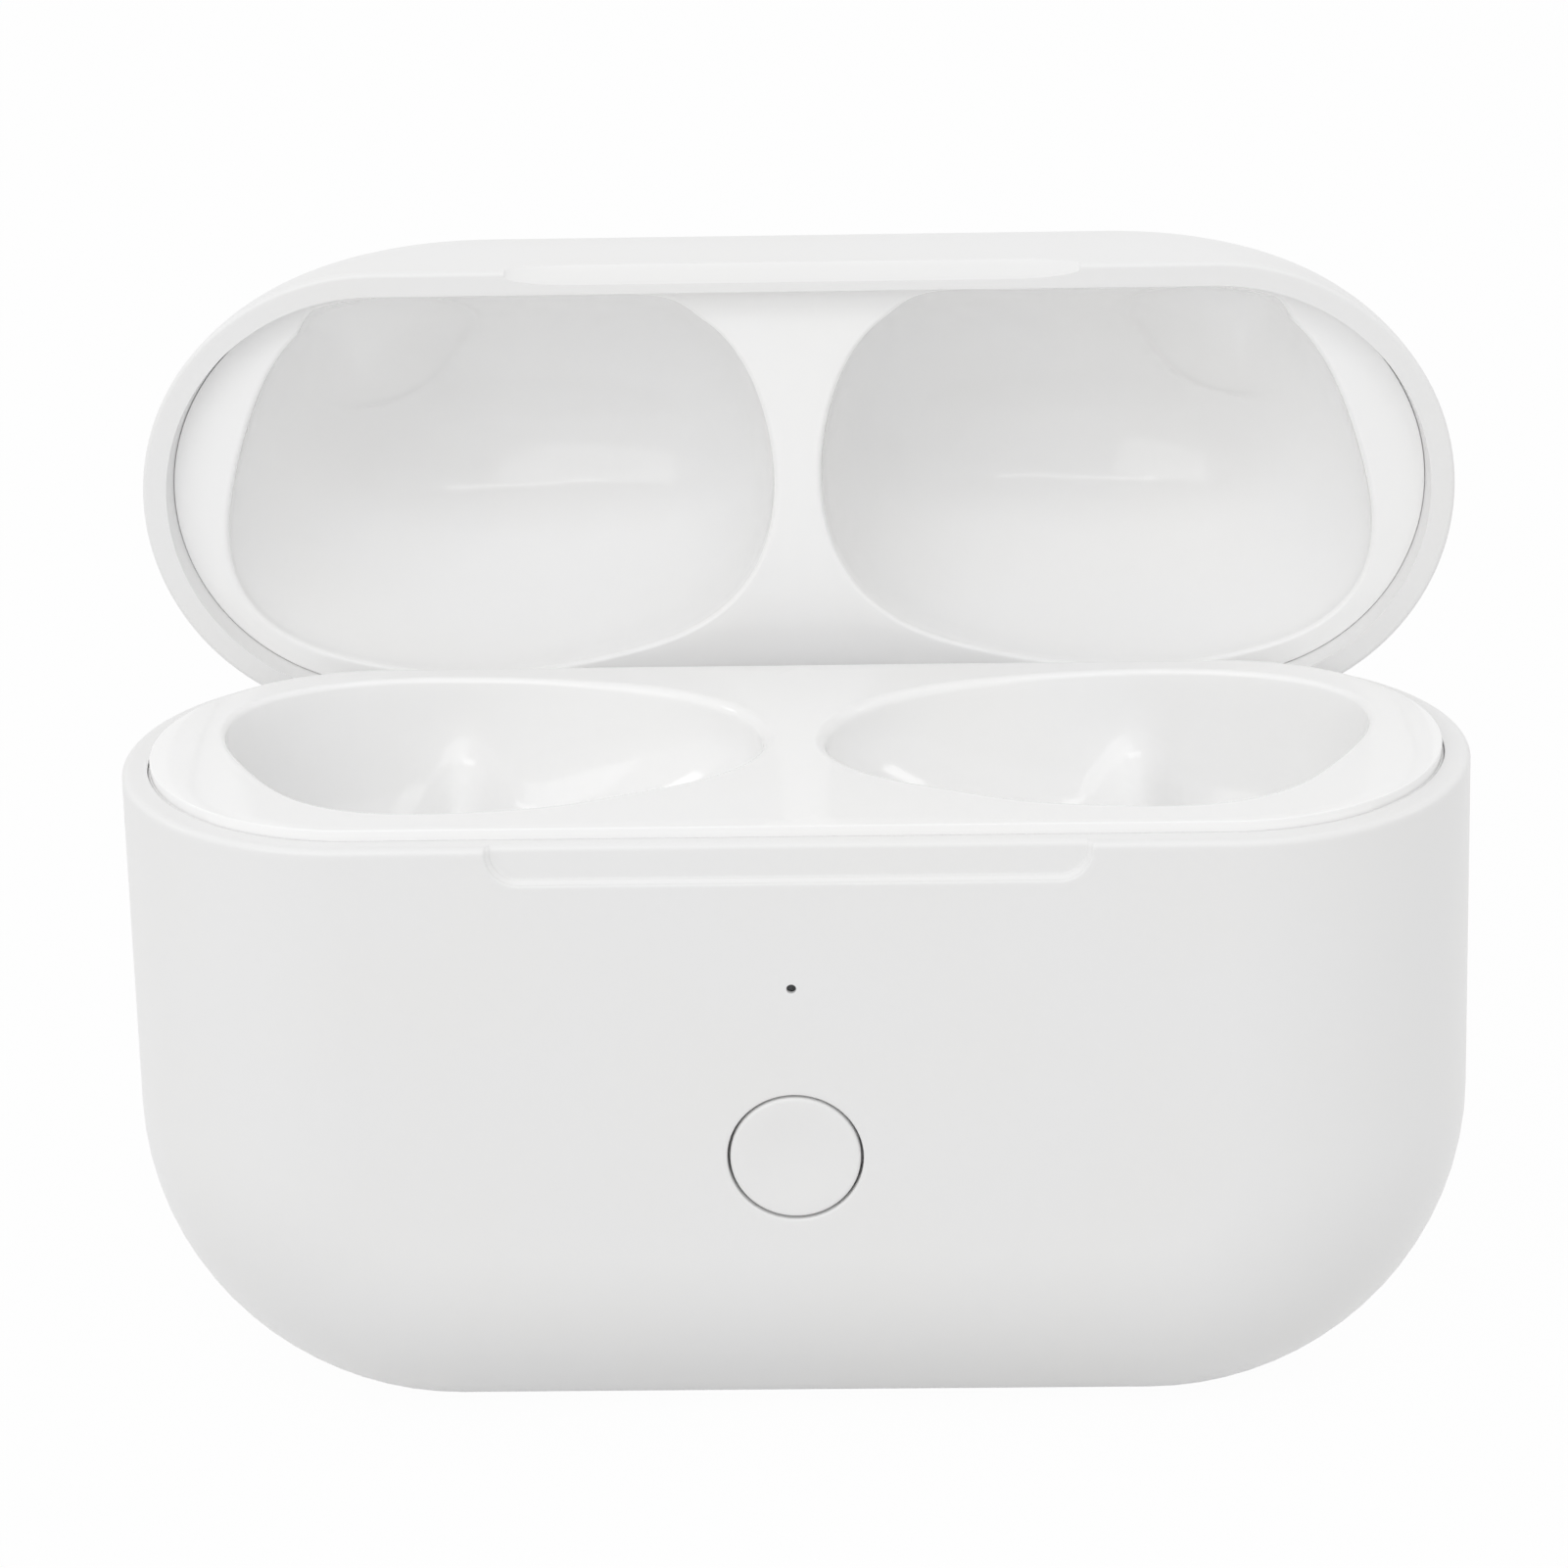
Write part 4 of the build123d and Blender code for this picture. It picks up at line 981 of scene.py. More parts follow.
# ---------------------------------------------------------------- button
BUTTON_FLANGE = 3.45
BUTTON_FLANGE_DEPTHS = (1.20, 1.60)
BUTTON_STEM = 1.0
BUTTON_EDGE = 0.15
BUTTON_DISH = 0.12


def build_button():
    """Pairing button: a section (radius, depth) turned about the axis along Y at the button's height.

    The dish's depth is d (1 - q^2)^(3/2) over q from 0 to 1, then come a flat, a quarter round, the flange
    and the stem behind it.
    """
    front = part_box("button_cap")[0].y / MM
    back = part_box("button_cap")[1].y / MM
    turn = np.linspace(0, PI / 2, 6)
    q = np.linspace(0, 1, 12)
    near, far = BUTTON_FLANGE_DEPTHS
    flat_end = BUTTON_RADIUS - BUTTON_EDGE
    behind = (
        (BUTTON_RADIUS, near),
        (BUTTON_FLANGE, near),
        (BUTTON_FLANGE, far),
        (BUTTON_STEM, far),
        (BUTTON_STEM, back - front),
        (0.0, back - front),
    )
    dish = (BUTTON_RADIUS - 0.40) * q
    radius = np.concatenate([dish, [flat_end - 0.05], flat_end + BUTTON_EDGE * np.sin(turn)])
    depth = np.concatenate([BUTTON_DISH * (1 - q**2) ** 1.5, [0.0], BUTTON_EDGE * (1 - np.cos(turn))])
    section = np.concatenate([np.stack([radius, depth], -1), behind])
    radius, depth = section[:, :1], section[:, 1:]
    t = np.arange(97) * 2 * PI / 96
    skin = Skin()
    skin.grid(stack(radius * np.cos(t), front + depth, BUTTON_Z + radius * np.sin(t)))
    return skin.piece("pairing_button")


# ---------------------------------------------------------------- finishes
WHITE = (1.0, 1.0, 1.0)
BLACK = (0.0, 0.0, 0.0)


class Flow:
    """A value in a node tree; arithmetic on it adds the Math nodes."""

    def __init__(self, nodes, socket):
        self.nodes = nodes
        self.socket = socket

    def math(self, operation, *values):
        """A Math node's result, its values being flows or plain numbers."""
        return self.nodes.node("ShaderNodeMath", {"operation": operation}, dict(enumerate(values)))

    def __add__(self, other):
        return self.math("ADD", self, other)

    def __sub__(self, other):
        return self.math("SUBTRACT", self, other)

    def __rsub__(self, other):
        return self.math("SUBTRACT", other, self)

    def __mul__(self, other):
        return self.math("MULTIPLY", self, other)

    def __truediv__(self, other):
        return self.math("DIVIDE", self, other)

    def __rtruediv__(self, other):
        return self.math("DIVIDE", other, self)

    def __pow__(self, other):
        return self.math("POWER", self, other)

    def __abs__(self):
        return self.math("ABSOLUTE", self)

    def __gt__(self, other):
        return self.math("GREATER_THAN", self, other)

    def __lt__(self, other):
        return self.math("LESS_THAN", self, other)

    def most(self, other):
        """The larger of the two."""
        return self.math("MAXIMUM", self, other)

    def repeated(self, pitch):
        """Position inside a pitch, from 0 to 1."""
        return self.math("FRACT", self / pitch)

    def counted(self, pitch):
        """Number of whole pitches."""
        return self.math("FLOOR", self / pitch)

    def line(self, pitch, width):
        """1 on lines of a width that repeat at a pitch, else 0."""
        return abs(self.repeated(pitch) - 0.5) < 0.5 * width / pitch

    __radd__ = __add__
    __rmul__ = __mul__


class Nodes:
    """A node tree, emptied and built up anew."""

    def __init__(self, tree):
        self.tree = tree
        self.tree.nodes.clear()

    def node(self, kind, settings, inputs, output=0):
        """Adds a node, sets its settings first, then the values or links of its sockets."""
        node = self.tree.nodes.new(kind)
        for key, value in settings.items():
            if key == "stops":
                ramp = node.color_ramp
                while len(ramp.elements) < len(value):
                    ramp.elements.new(1.0)
                for element, (position, colour) in zip(ramp.elements, value):
                    element.position = position
                    element.color = (*colour, 1.0)
            else:
                setattr(node, key, value)
        for key, value in inputs.items():
            if isinstance(value, Flow):
                self.tree.links.new(value.socket, node.inputs[key])
            elif isinstance(value, tuple) and len(value) == 3 and node.inputs[key].type == "RGBA":
                node.inputs[key].default_value = (*value, 1.0)
            else:
                node.inputs[key].default_value = value
        return Flow(self, node.outputs[output])

    def end(self, kind, shader):
        """Adds an output node that takes a shader, and returns it."""
        output = self.tree.nodes.new(kind)
        self.tree.links.new(shader.socket, output.inputs[0])
        return output

    def shown(self):
        """1 for rays from the camera, off a gloss or through clear plastic, else 0."""
        kinds = ("Is Camera Ray", "Is Glossy Ray", "Is Transmission Ray")
        camera, gloss, clear = (self.node("ShaderNodeLightPath", {}, {}, kind) for kind in kinds)
        return camera.most(gloss).most(clear)


class Finish(Nodes):
    """A material made of nodes round one shader."""

    def __init__(self, name, **constants):
        self.material = bpy.data.materials.new(name)
        self.material.use_nodes = True
        super().__init__(self.material.node_tree)
        self.surface = self.node("ShaderNodeBsdfPrincipled", {}, constants)
        self.shader = self.surface.socket.node
        self.output = self.end("ShaderNodeOutputMaterial", self.surface)
        self.place = self.node("ShaderNodeTexCoord", {}, {}, "Object")

    def noise(self, size, detail=2.0, stretch=(1, 1, 1), rough=0.5):
        """Soft noise from 0 to 1 with features of about size millimetres."""
        where = self.node("ShaderNodeMapping", {}, {"Vector": self.place, "Scale": stretch})
        inputs = {"Vector": where, "Scale": 1.0 / (size * MM), "Detail": detail, "Roughness": rough}
        return self.node("ShaderNodeTexNoise", {}, inputs)

    def along(self, axis):
        """Object coordinate along an axis, in millimetres."""
        return self.node("ShaderNodeSeparateXYZ", {}, {0: self.place}, axis) * (1.0 / MM)

    def facing(self, axis):
        """How far the surface faces along an axis, from 0 to 1."""
        normal = self.node("ShaderNodeTexCoord", {}, {}, "Normal")
        return abs(self.node("ShaderNodeSeparateXYZ", {}, {0: normal}, axis))

    def cells(self, size):
        """Distance from the middles of irregular cells of about size millimetres."""
        return self.node("ShaderNodeTexVoronoi", {}, {"Vector": self.place, "Scale": 1.0 / (size * MM)})

    def chance(self, a, b):
        """One random value from 0 to 1 for each pair of whole numbers."""
        pair = self.node("ShaderNodeCombineXYZ", {}, {0: a, 1: b})
        return self.node("ShaderNodeTexWhiteNoise", {"noise_dimensions": "2D"}, {"Vector": pair}, "Value")

    def blend(self, factor, a, b):
        """Colour a turning into colour b."""
        return self.node("ShaderNodeMix", {"data_type": "RGBA"}, {0: factor, 6: a, 7: b}, 2)

    def ramp(self, value, *stops):
        """Colours along a value, each stop being a position and its colour."""
        return self.node("ShaderNodeValToRGB", {"stops": stops}, {0: value})

    def rising(self, value, low, high):
        """0 below low, 1 above high, even between."""
        return self.ramp(value, (low, BLACK), (high, WHITE))

    def falling(self, value, low, high):
        """1 below low, 0 above high, even between."""
        return self.ramp(value, (low, WHITE), (high, BLACK))

    def set(self, **sockets):
        """Links flows to the shader's sockets, whose names have _ for a space."""
        for key, value in sockets.items():
            self.tree.links.new(value.socket, self.shader.inputs[key.replace("_", " ")])

    def relief(self, height):
        """Bump of a height in millimetres, on the shader's Normal."""
        inputs = {"Height": height, "Distance": MM, "Strength": 1.0}
        self.set(Normal=self.node("ShaderNodeBump", {}, inputs))


def shade(colour, factor):
    """The colour made darker or lighter."""
    return tuple(min(1.0, c * factor) for c in colour)


def moulded_white(name, colour, roughness, grain, depth, wave):
    """White moulded plastic: fine spark-eroded grain, slow waves from the tool, faint clouding."""
    finish = Finish(name, IOR=1.50)
    cloud = finish.noise(9.0, 3.0)
    speck = finish.noise(0.8, 2.0)
    warm = tuple(c * k for c, k in zip(colour, (1.0, 0.997, 0.990)))
    tint = finish.blend(finish.rising(cloud, 0.35, 0.7), colour, warm)
    finish.set(Base_Color=finish.blend((speck * 0.35) ** 2.0, tint, shade(colour, 0.975)))
    fine = finish.noise(grain, 2.0)
    finish.set(Roughness=roughness + (cloud - 0.5) * 0.06 + (fine - 0.5) * 0.05)
    slow = finish.noise(wave, 1.0)
    finish.relief(fine * depth + slow * 0.0015)
    return finish.material


def drawn_metal(name, colour, roughness, stretch, size=0.10, depth=0.0015, stain=None):
    """Bare metal with fine drawn lines, faint clouding, a stain in patches and a few brighter scratches."""
    finish = Finish(name, Metallic=1.0)
    fine = finish.noise(size, 4.0, stretch, 0.65)
    cloud = finish.noise(2.4, 3.0)
    scratch = finish.noise(size * 2.5, 2.0, tuple(v * (0.4 if v < 1 else 1.0) for v in stretch))
    scored = finish.rising(scratch, 0.62, 0.70)
    body = finish.blend(fine, shade(colour, 0.88), shade(colour, 1.06))
    patch = finish.rising(cloud, 0.42, 0.70)
    body = finish.blend(patch, body, stain or shade(colour, 0.90))
    finish.set(Base_Color=finish.blend(scored, body, shade(colour, 1.15)))
    finish.set(Roughness=roughness + (fine - 0.5) * 0.16 + (cloud - 0.5) * 0.14)
    finish.relief(fine * depth + cloud * 0.002)
    return finish.material


def plated_magnet(name, colour):
    """Tumbled nickel plating: mottled, with small pits that the tumbling left, painted darker as painted
    shade.
    """
    finish = Finish(name, Metallic=1.0)
    cloud = finish.noise(1.2, 4.0)
    painted_pit_shade = finish.falling(finish.cells(0.35), 0.06, 0.14)
    body = finish.blend(cloud, shade(colour, 0.90), shade(colour, 1.08))
    # The pits are painted darker as painted shade.
    finish.set(Base_Color=finish.blend(painted_pit_shade, body, shade(colour, 0.55)))
    finish.set(Roughness=0.13 + cloud * 0.12 + finish.noise(0.2, 2.0) * 0.06)
    finish.relief(cloud * 0.004 - finish.cells(0.35) * 0.002)
    return finish.material


def welded_nickel(name, colour):
    """Rolled nickel strip with the round marks of spot welds."""
    finish = Finish(name, Metallic=1.0)
    fine = finish.noise(0.10, 3.0, (0.05, 1, 1))
    spot = finish.cells(1.10)
    ring = finish.ramp(spot, (0.12, (0.2, 0.2, 0.2)), (0.20, WHITE), (0.26, BLACK))
    body = finish.blend(fine, shade(colour, 0.90), shade(colour, 1.05))
    finish.set(Base_Color=finish.blend(ring, body, (0.36, 0.33, 0.30)))
    finish.set(Roughness=0.30 + fine * 0.14 + finish.noise(1.5, 2.0) * 0.08)
    finish.relief(fine * 0.001 + finish.rising(spot, 0.10, 0.24) * 0.02)
    return finish.material


def moulded_black(name, colour):
    """Black moulding compound with a fine frosted grain and a greyer bloom."""
    finish = Finish(name, IOR=1.5)
    grain = finish.noise(0.05, 3.0)
    bloom = finish.noise(1.4, 3.0)
    body = finish.blend(bloom, colour, shade(colour, 1.9))
    finish.set(Base_Color=finish.blend((grain * 0.8) ** 3.0, body, (0.10, 0.10, 0.11)))
    finish.set(Roughness=0.42 + (bloom - 0.5) * 0.16 + (grain - 0.5) * 0.20)
    finish.relief(grain * 0.003)
    return finish.material


def soft_silicone(name, colour):
    """Soft milky rubber with a matt skin, flow marks and a little dust."""
    finish = Finish(name, IOR=1.42)
    cloud = finish.noise(0.9, 3.0)
    dust = finish.rising(finish.noise(0.08, 2.0), 0.66, 0.74)
    body = finish.blend(cloud, colour, (0.70, 0.71, 0.72))
    finish.set(Base_Color=finish.blend(dust * 0.5, body, (0.55, 0.54, 0.52)))
    finish.set(Roughness=0.50 + cloud * 0.16)
    finish.relief(cloud * 0.006 + finish.noise(0.06, 2.0) * 0.001)
    return finish.material


def circuit_board(name, colour):
    """Green solder mask over copper tracks, plated via holes painted black in the middle as painted shade,
    and the bare glass-fibre core at the edges.
    """
    finish = Finish(name, IOR=1.52)
    x, z = finish.along(0), finish.along(2)
    pitch, width, via_pitch = 0.52, 0.15, 1.7
    which = finish.chance(x.counted(3.1), z.counted(2.7)) > 0.5
    upright = x.line(pitch, width)
    level = z.line(pitch, width)
    track = which * upright + (1.0 - which) * level
    weave = finish.noise(0.16, 2.0, (1, 1, 0.2))
    mask = finish.blend(finish.noise(2.0, 2.0), colour, shade(colour, 1.35))
    mask = finish.blend(track * 0.75, mask, (0.07, 0.36, 0.15))
    a = x.repeated(via_pitch) - 0.5
    b = z.repeated(via_pitch) - 0.5
    reach = (a * a + b * b) ** 0.5
    chosen = finish.chance(x.counted(via_pitch), z.counted(via_pitch)) > 0.62
    pad = (reach < 0.16) * chosen
    drill_hole_and_painted_shade = (reach < 0.07) * chosen
    # The drilled middle of each via is painted near black as painted shade.
    top = finish.blend(drill_hole_and_painted_shade, finish.blend(pad, mask, (0.80, 0.62, 0.28)), (0.02, 0.02, 0.02))
    edge = finish.facing(1) < 0.5
    core = finish.blend(weave, (0.42, 0.40, 0.22), (0.58, 0.55, 0.34))
    finish.set(Base_Color=finish.blend(edge, top, core))
    finish.set(Metallic=(pad - drill_hole_and_painted_shade) * (1.0 - edge) * 0.9)
    finish.set(Roughness=0.30 + edge * 0.35 + weave * 0.08)
    finish.relief(track * 0.010 + pad * 0.008 - drill_hole_and_painted_shade * 0.05 + weave * edge * 0.01)
    return finish.material


def light_emitter(name, colour):
    """White ceramic package round a pale yellow lens."""
    finish = Finish(name, IOR=1.5)
    low, high = CAD["status_led"]
    a = (finish.along(0) - 0.5 * (low[0] + high[0])) / (0.5 * (high[0] - low[0]))
    b = (finish.along(2) - 0.5 * (low[2] + high[2])) / (0.5 * (high[2] - low[2]))
    lens = finish.falling((a * a + b * b) ** 0.5, 0.60, 0.66)
    speck = finish.noise(0.03, 2.0)
    glass = finish.blend(speck, colour, (0.92, 0.80, 0.36))
    ceramic = finish.blend(finish.noise(0.2, 2.0), (0.88, 0.88, 0.86), (0.80, 0.80, 0.78))
    finish.set(Base_Color=finish.blend(lens, ceramic, glass))
    finish.set(Roughness=0.45 - lens * 0.28 + speck * 0.05)
    finish.relief(lens * 0.02 + speck * 0.001)
    return finish.material


def shade_tinted_guide(name, colour):
    """Clear plastic tinted dark as painted shade for the light's small hole, with a finely frosted face and
    faint flow lines.
    """
    finish = Finish(name, **{"Transmission Weight": 0.85, "IOR": 1.49})
    flow = finish.noise(0.25, 2.0, (1, 0.3, 1))
    # The dark tint is painted shade that makes the light's small hole read dark.
    finish.set(Base_Color=finish.blend(flow, shade(colour, 0.8), shade(colour, 1.2)))
    finish.set(Roughness=0.16 + flow * 0.12)
    finish.relief(flow * 0.001)
    return finish.material


def pouch_foil(name, colour):
    """Laminated foil of a pouch cell: dull, finely wrinkled, with amber tape round the end of the tabs."""
    finish = Finish(name, IOR=1.5)
    top = CAD["battery_cell"][1][2]
    wrinkle = finish.noise(2.6, 4.0, (1, 1, 2.2), 0.6)
    fine = finish.noise(0.12, 2.0)
    tape = finish.rising(finish.along(2) / top, (top - 2.65) / top, (top - 2.6) / top)
    foil = finish.blend(wrinkle, shade(colour, 0.86), shade(colour, 1.12))
    foil = finish.blend((fine * 0.9) ** 3.0, foil, shade(colour, 0.7))
    amber = finish.blend(wrinkle, (0.60, 0.30, 0.05), (0.76, 0.44, 0.10))
    finish.set(Base_Color=finish.blend(tape, foil, amber))
    finish.set(Metallic=0.85 - tape * 0.75)
    finish.set(Roughness=0.42 - tape * 0.20 + (fine - 0.5) * 0.10 + (wrinkle - 0.5) * 0.16)
    finish.relief(wrinkle * 0.10 + tape * 0.05 + fine * 0.002)
    return finish.material


def open_foam(name, colour):
    """Open-cell foam: small round pores painted dark as painted shade, with paler struts."""
    finish = Finish(name, **{"Sheen Weight": 0.35, "Sheen Roughness": 0.6})
    pore = finish.cells(0.30)
    strut = finish.rising(pore, 0.30, 0.62)
    patch = finish.noise(2.0, 3.0)
    body = finish.blend(patch, colour, shade(colour, 1.6))
    # The pores are painted dark as painted shade; the struts keep the foam's paler colour.
    finish.set(Base_Color=finish.blend(strut, shade(colour, 0.35), body))
    finish.set(Roughness=0.92 + (patch - 0.5) * 0.10)
    finish.relief(strut * 0.07 + patch * 0.03)
    return finish.material


def wound_copper(name, colour):
    """Turns of enamelled wire side by side round an oval: a painted highlight along the top of each turn,
    painted shade between turns.
    """
    finish = Finish(name, Metallic=1.0, IOR=1.5, **{"Coat Weight": 0.5, "Coat Roughness": 0.15})
    low, high = CAD["charging_coil"]
    middle = 0.5 * (low[2] + high[2])
    straight = 0.5 * (high[0] - low[0]) - 0.5 * (high[2] - low[2])
    past = (abs(finish.along(0)) - straight).most(0.0)
    rise = finish.along(2) - middle
    reach = (past * past + rise * rise) ** 0.5
    wire = 0.26
    turn = abs(reach.repeated(wire) - 0.5) * 2.0
    crest_and_painted_light = 1.0 - turn * turn
    tone = finish.chance(reach.counted(wire), 1.0)
    body = finish.blend(tone, shade(colour, 0.85), shade(colour, 1.12))
    stain = finish.rising(finish.noise(1.6, 3.0), 0.5, 0.75)
    body = finish.blend(stain * 0.5, body, (0.45, 0.20, 0.12))
    # Painted light: the top of each turn keeps the bright copper as a painted highlight, and the groove
    # between turns is painted near black as shade.
    finish.set(Base_Color=finish.blend(crest_and_painted_light, (0.10, 0.04, 0.02), body))
    finish.set(Roughness=0.42 - crest_and_painted_light * 0.18 + finish.noise(0.2, 2.0) * 0.06)
    finish.relief(crest_and_painted_light * 0.09)
    return finish.material


def sintered_sheet(name, colour):
    """Dull dark ferrite, speckled, scored in small squares so that it can flex under its film."""
    finish = Finish(name, IOR=1.6)
    square, width = 2.1, 0.07
    score = finish.along(0).line(square, width).most(finish.along(2).line(square, width))
    speck = finish.noise(0.10, 3.0)
    patch = finish.noise(2.2, 3.0)
    body = finish.blend(patch, shade(colour, 0.75), shade(colour, 1.25))
    bright = finish.rising(speck, 0.60, 0.72)
    body = finish.blend(bright * 0.6, body, (0.24, 0.23, 0.22))
    finish.set(Base_Color=finish.blend(score, body, (0.02, 0.02, 0.02)))
    finish.set(Roughness=0.55 + (patch - 0.5) * 0.2 + score * 0.2)
    finish.relief(speck * 0.003 - score * 0.03)
    return finish.material


def amber_film(name, colour):
    """Amber polyimide film over copper tracks, a little hazy, with darker glue along the tracks."""
    finish = Finish(name, IOR=1.6)
    track = finish.along(0).line(0.62, 0.30)
    haze = finish.noise(1.1, 3.0)
    body = finish.blend(haze, shade(colour, 0.85), shade(colour, 1.15))
    metal = finish.blend(finish.noise(0.3, 2.0), (0.46, 0.20, 0.06), (0.58, 0.27, 0.09))
    finish.set(Base_Color=finish.blend(track, body, metal))
    finish.set(Roughness=0.24 + haze * 0.14)
    finish.set(Metallic=track * 0.35)
    finish.relief(track * 0.015 + haze * 0.004)
    return finish.material


def turned_gold(name, colour):
    """Gold flash on a turned pin: fine rings from the lathe, rubbed through to paler nickel in places."""
    finish = Finish(name, Metallic=1.0)
    ring = finish.noise(0.03, 2.0, (0.05, 0.05, 1))
    rubbed = finish.rising(finish.noise(0.5, 3.0), 0.60, 0.72)
    body = finish.blend(ring, shade(colour, 0.90), shade(colour, 1.10))
    finish.set(Base_Color=finish.blend(rubbed * 0.7, body, (0.70, 0.66, 0.58)))
    finish.set(Roughness=0.20 + ring * 0.14 + rubbed * 0.10)
    finish.relief(ring * 0.002)
    return finish.material


# Slot: name, the settings' word for the moulding, size of the grain, its depth, length of the waves.
WHITES = {
    "white_shell": ("satin_white_plastic", "shell", 0.10, 0.0012, 6.0),
    "white_liner": ("gloss_white_plastic", "liner", 0.30, 0.0004, 8.0),
}
# Slot: the finish, its name, what it takes besides the slot's colour.
FINISHES = {
    "hinge_steel": (drawn_metal, "brushed_hinge_steel", {"roughness": 0.30, "stretch": (0.03, 1, 1)}),
    "spring_steel": (
        drawn_metal,
        "rolled_spring_steel",
        {"roughness": 0.36, "stretch": (0.02, 1, 1), "size": 0.2, "stain": (0.52, 0.46, 0.36)},
    ),
    "screw_steel": (
        drawn_metal,
        "zinc_plated_steel",
        {"roughness": 0.34, "stretch": (1, 0.2, 1), "size": 0.06, "stain": (0.46, 0.48, 0.56)},
    ),
    "port_steel": (
        drawn_metal,
        "drawn_port_steel",
        {"roughness": 0.26, "stretch": (1, 1, 0.03), "size": 0.08},
    ),
    "magnet_plating": (plated_magnet, "tumbled_nickel", {}),
    "nickel": (welded_nickel, "welded_nickel_strip", {}),
    "black_plastic": (moulded_black, "black_moulding", {}),
    "silicone": (soft_silicone, "milky_silicone", {}),
    "green_laminate": (circuit_board, "solder_masked_board", {}),
    "led_package": (light_emitter, "light_emitter", {}),
    "clear_plastic": (shade_tinted_guide, "smoked_light_guide", {}),
    "battery_foil": (pouch_foil, "pouch_foil", {}),
    "foam": (open_foam, "open_cell_foam", {}),
    "copper": (wound_copper, "wound_copper", {}),
    "ferrite": (sintered_sheet, "scored_ferrite", {}),
    "flex_film": (amber_film, "amber_film", {}),
    "gold_plate": (turned_gold, "turned_gold", {}),
}
COLOURS = {entry["slot"]: tuple(entry["base_color"]) for entry in frame["record"]["materials"]}
MADE = {}


def make_finish(slot):
    """The material for one of the record's slots; the two whites follow the case's settings."""
    if slot in WHITES:
        name, part, grain, depth, wave = WHITES[slot]
        case = bpy.context.scene.earbuds_case
        colour, roughness = tuple(getattr(case, part + "_colour")), getattr(case, part + "_roughness")
        return moulded_white(name, colour, roughness, grain, depth, wave)
    kind, name, options = FINISHES[slot]
    return kind(name, COLOURS[slot], **options)


def finish_of(slot):
    """The material for one of the record's slots, made once."""
    if slot not in MADE:
        MADE[slot] = make_finish(slot)
    return MADE[slot]


# ---------------------------------------------------------------- foam pad
def build_pad():
    """Foam pad behind the cell: a slab with soft corners whose face crowns between its edges.

    Over u and v from -1 to 1, the half thickness is t (1 - u^8)^(1/2) (1 - v^8)^(1/2), crowned by up to a
    tenth in the middle, with shallow dents where the foam was cut. The corners are drawn in by a fiftieth.
    """
    low, high = CAD["battery_pad"]
    middle, half = 0.5 * (low + high), 0.5 * (high - low)
    u = np.sin(np.linspace(-PI / 2, PI / 2, 97))[:, None]
    v = np.sin(np.linspace(-PI / 2, PI / 2, 61))[None, :]
    edge = np.sqrt(np.maximum(1 - u**8, 0)) * np.sqrt(np.maximum(1 - v**8, 0))
    crown = 0.88 + 0.11 * (1 - u**2) * (1 - v**2)
    dent = 0.014 * np.sin(7.0 * u + 2.0 * v) * np.cos(5.0 * v - 1.3 * u)
    thick = half[1] * np.minimum(edge * (crown + dent), 1.0)
    corner = 1 - 0.018 * (u**2 * v**2)
    x = middle[0] + half[0] * u * corner * np.ones_like(v)
    z = middle[2] + half[2] * v * corner * np.ones_like(u)
    skin = Skin()
    skin.grid(stack(x, middle[1] - thick, z))
    skin.grid(stack(x, middle[1] + thick, z))
    return skin.piece("foam_pad", sharp=60)


# ---------------------------------------------------------------- camera and stage
CAMERA_TURN, CAMERA_RISE, CAMERA_ROLL = np.radians([2.19, 22.22, -1.47])
CAMERA_TARGET = np.array([-0.50, 0.0, 28.10])
CAMERA_DISTANCE = 308.81
CAMERA_LENS = 157.41646
LAMP_AIM = (0, 0, 20)
FLOOR_RADIUS = 1500
FLOOR_DROP = 0.01
FLOOR_WHITE = 0.97


def build_camera():
    """Long lens, a little above the case and turned by a small roll."""
    level = np.cos(CAMERA_RISE)
    back = np.array([np.sin(CAMERA_TURN) * level, -np.cos(CAMERA_TURN) * level, np.sin(CAMERA_RISE)])
    eye = CAMERA_TARGET + back * CAMERA_DISTANCE
    right = np.cross(-back, [0, 0, 1])
    right /= np.linalg.norm(right)
    up = np.cross(right, -back)
    c, s = np.cos(CAMERA_ROLL), np.sin(CAMERA_ROLL)
    right, up = right * c + up * s, up * c - right * s
    lens = bpy.data.cameras.new("camera")
    lens.sensor_width = 36.0
    lens.lens = CAMERA_LENS
    lens.clip_start = 0.01
    lens.clip_end = 20.0
    camera = bpy.data.objects.new("camera", lens)
    axes = np.stack([right, up, back], axis=1)
    camera.matrix_world = Matrix([list(row) + [e * MM] for row, e in zip(axes, eye)] + [[0, 0, 0, 1]])
    bpy.context.scene.collection.objects.link(camera)
    bpy.context.scene.camera = camera


def area_light(name, place, size, power):
    """Soft rectangular lamp at a place in millimetres, facing the middle of the base."""
    lamp = bpy.data.lights.new(name, "AREA")
    lamp.shape = "RECTANGLE"
    lamp.size = size[0] * MM
    lamp.size_y = size[1] * MM
    lamp.energy = power
    light = bpy.data.objects.new(name, lamp)
    light.location = Vector(place) * MM
    light.rotation_euler = (Vector(LAMP_AIM) - Vector(place)).to_track_quat("-Z", "Y").to_euler()
    bpy.context.scene.collection.objects.link(light)


def build_surround(strength):
    """Soft white surround that lights the case at a strength and is itself shown as plain white."""
    world = bpy.data.worlds.new("surround")
    bpy.context.scene.world = world
    world.use_nodes = True
    nodes = Nodes(world.node_tree)
    lit = nodes.node("ShaderNodeBackground", {}, {0: WHITE, 1: strength})
    plain = nodes.node("ShaderNodeBackground", {}, {0: WHITE, 1: 1.0})
    both = nodes.node("ShaderNodeMixShader", {}, {0: nodes.shown(), 1: lit, 2: plain})
    nodes.end("ShaderNodeOutputWorld", both)


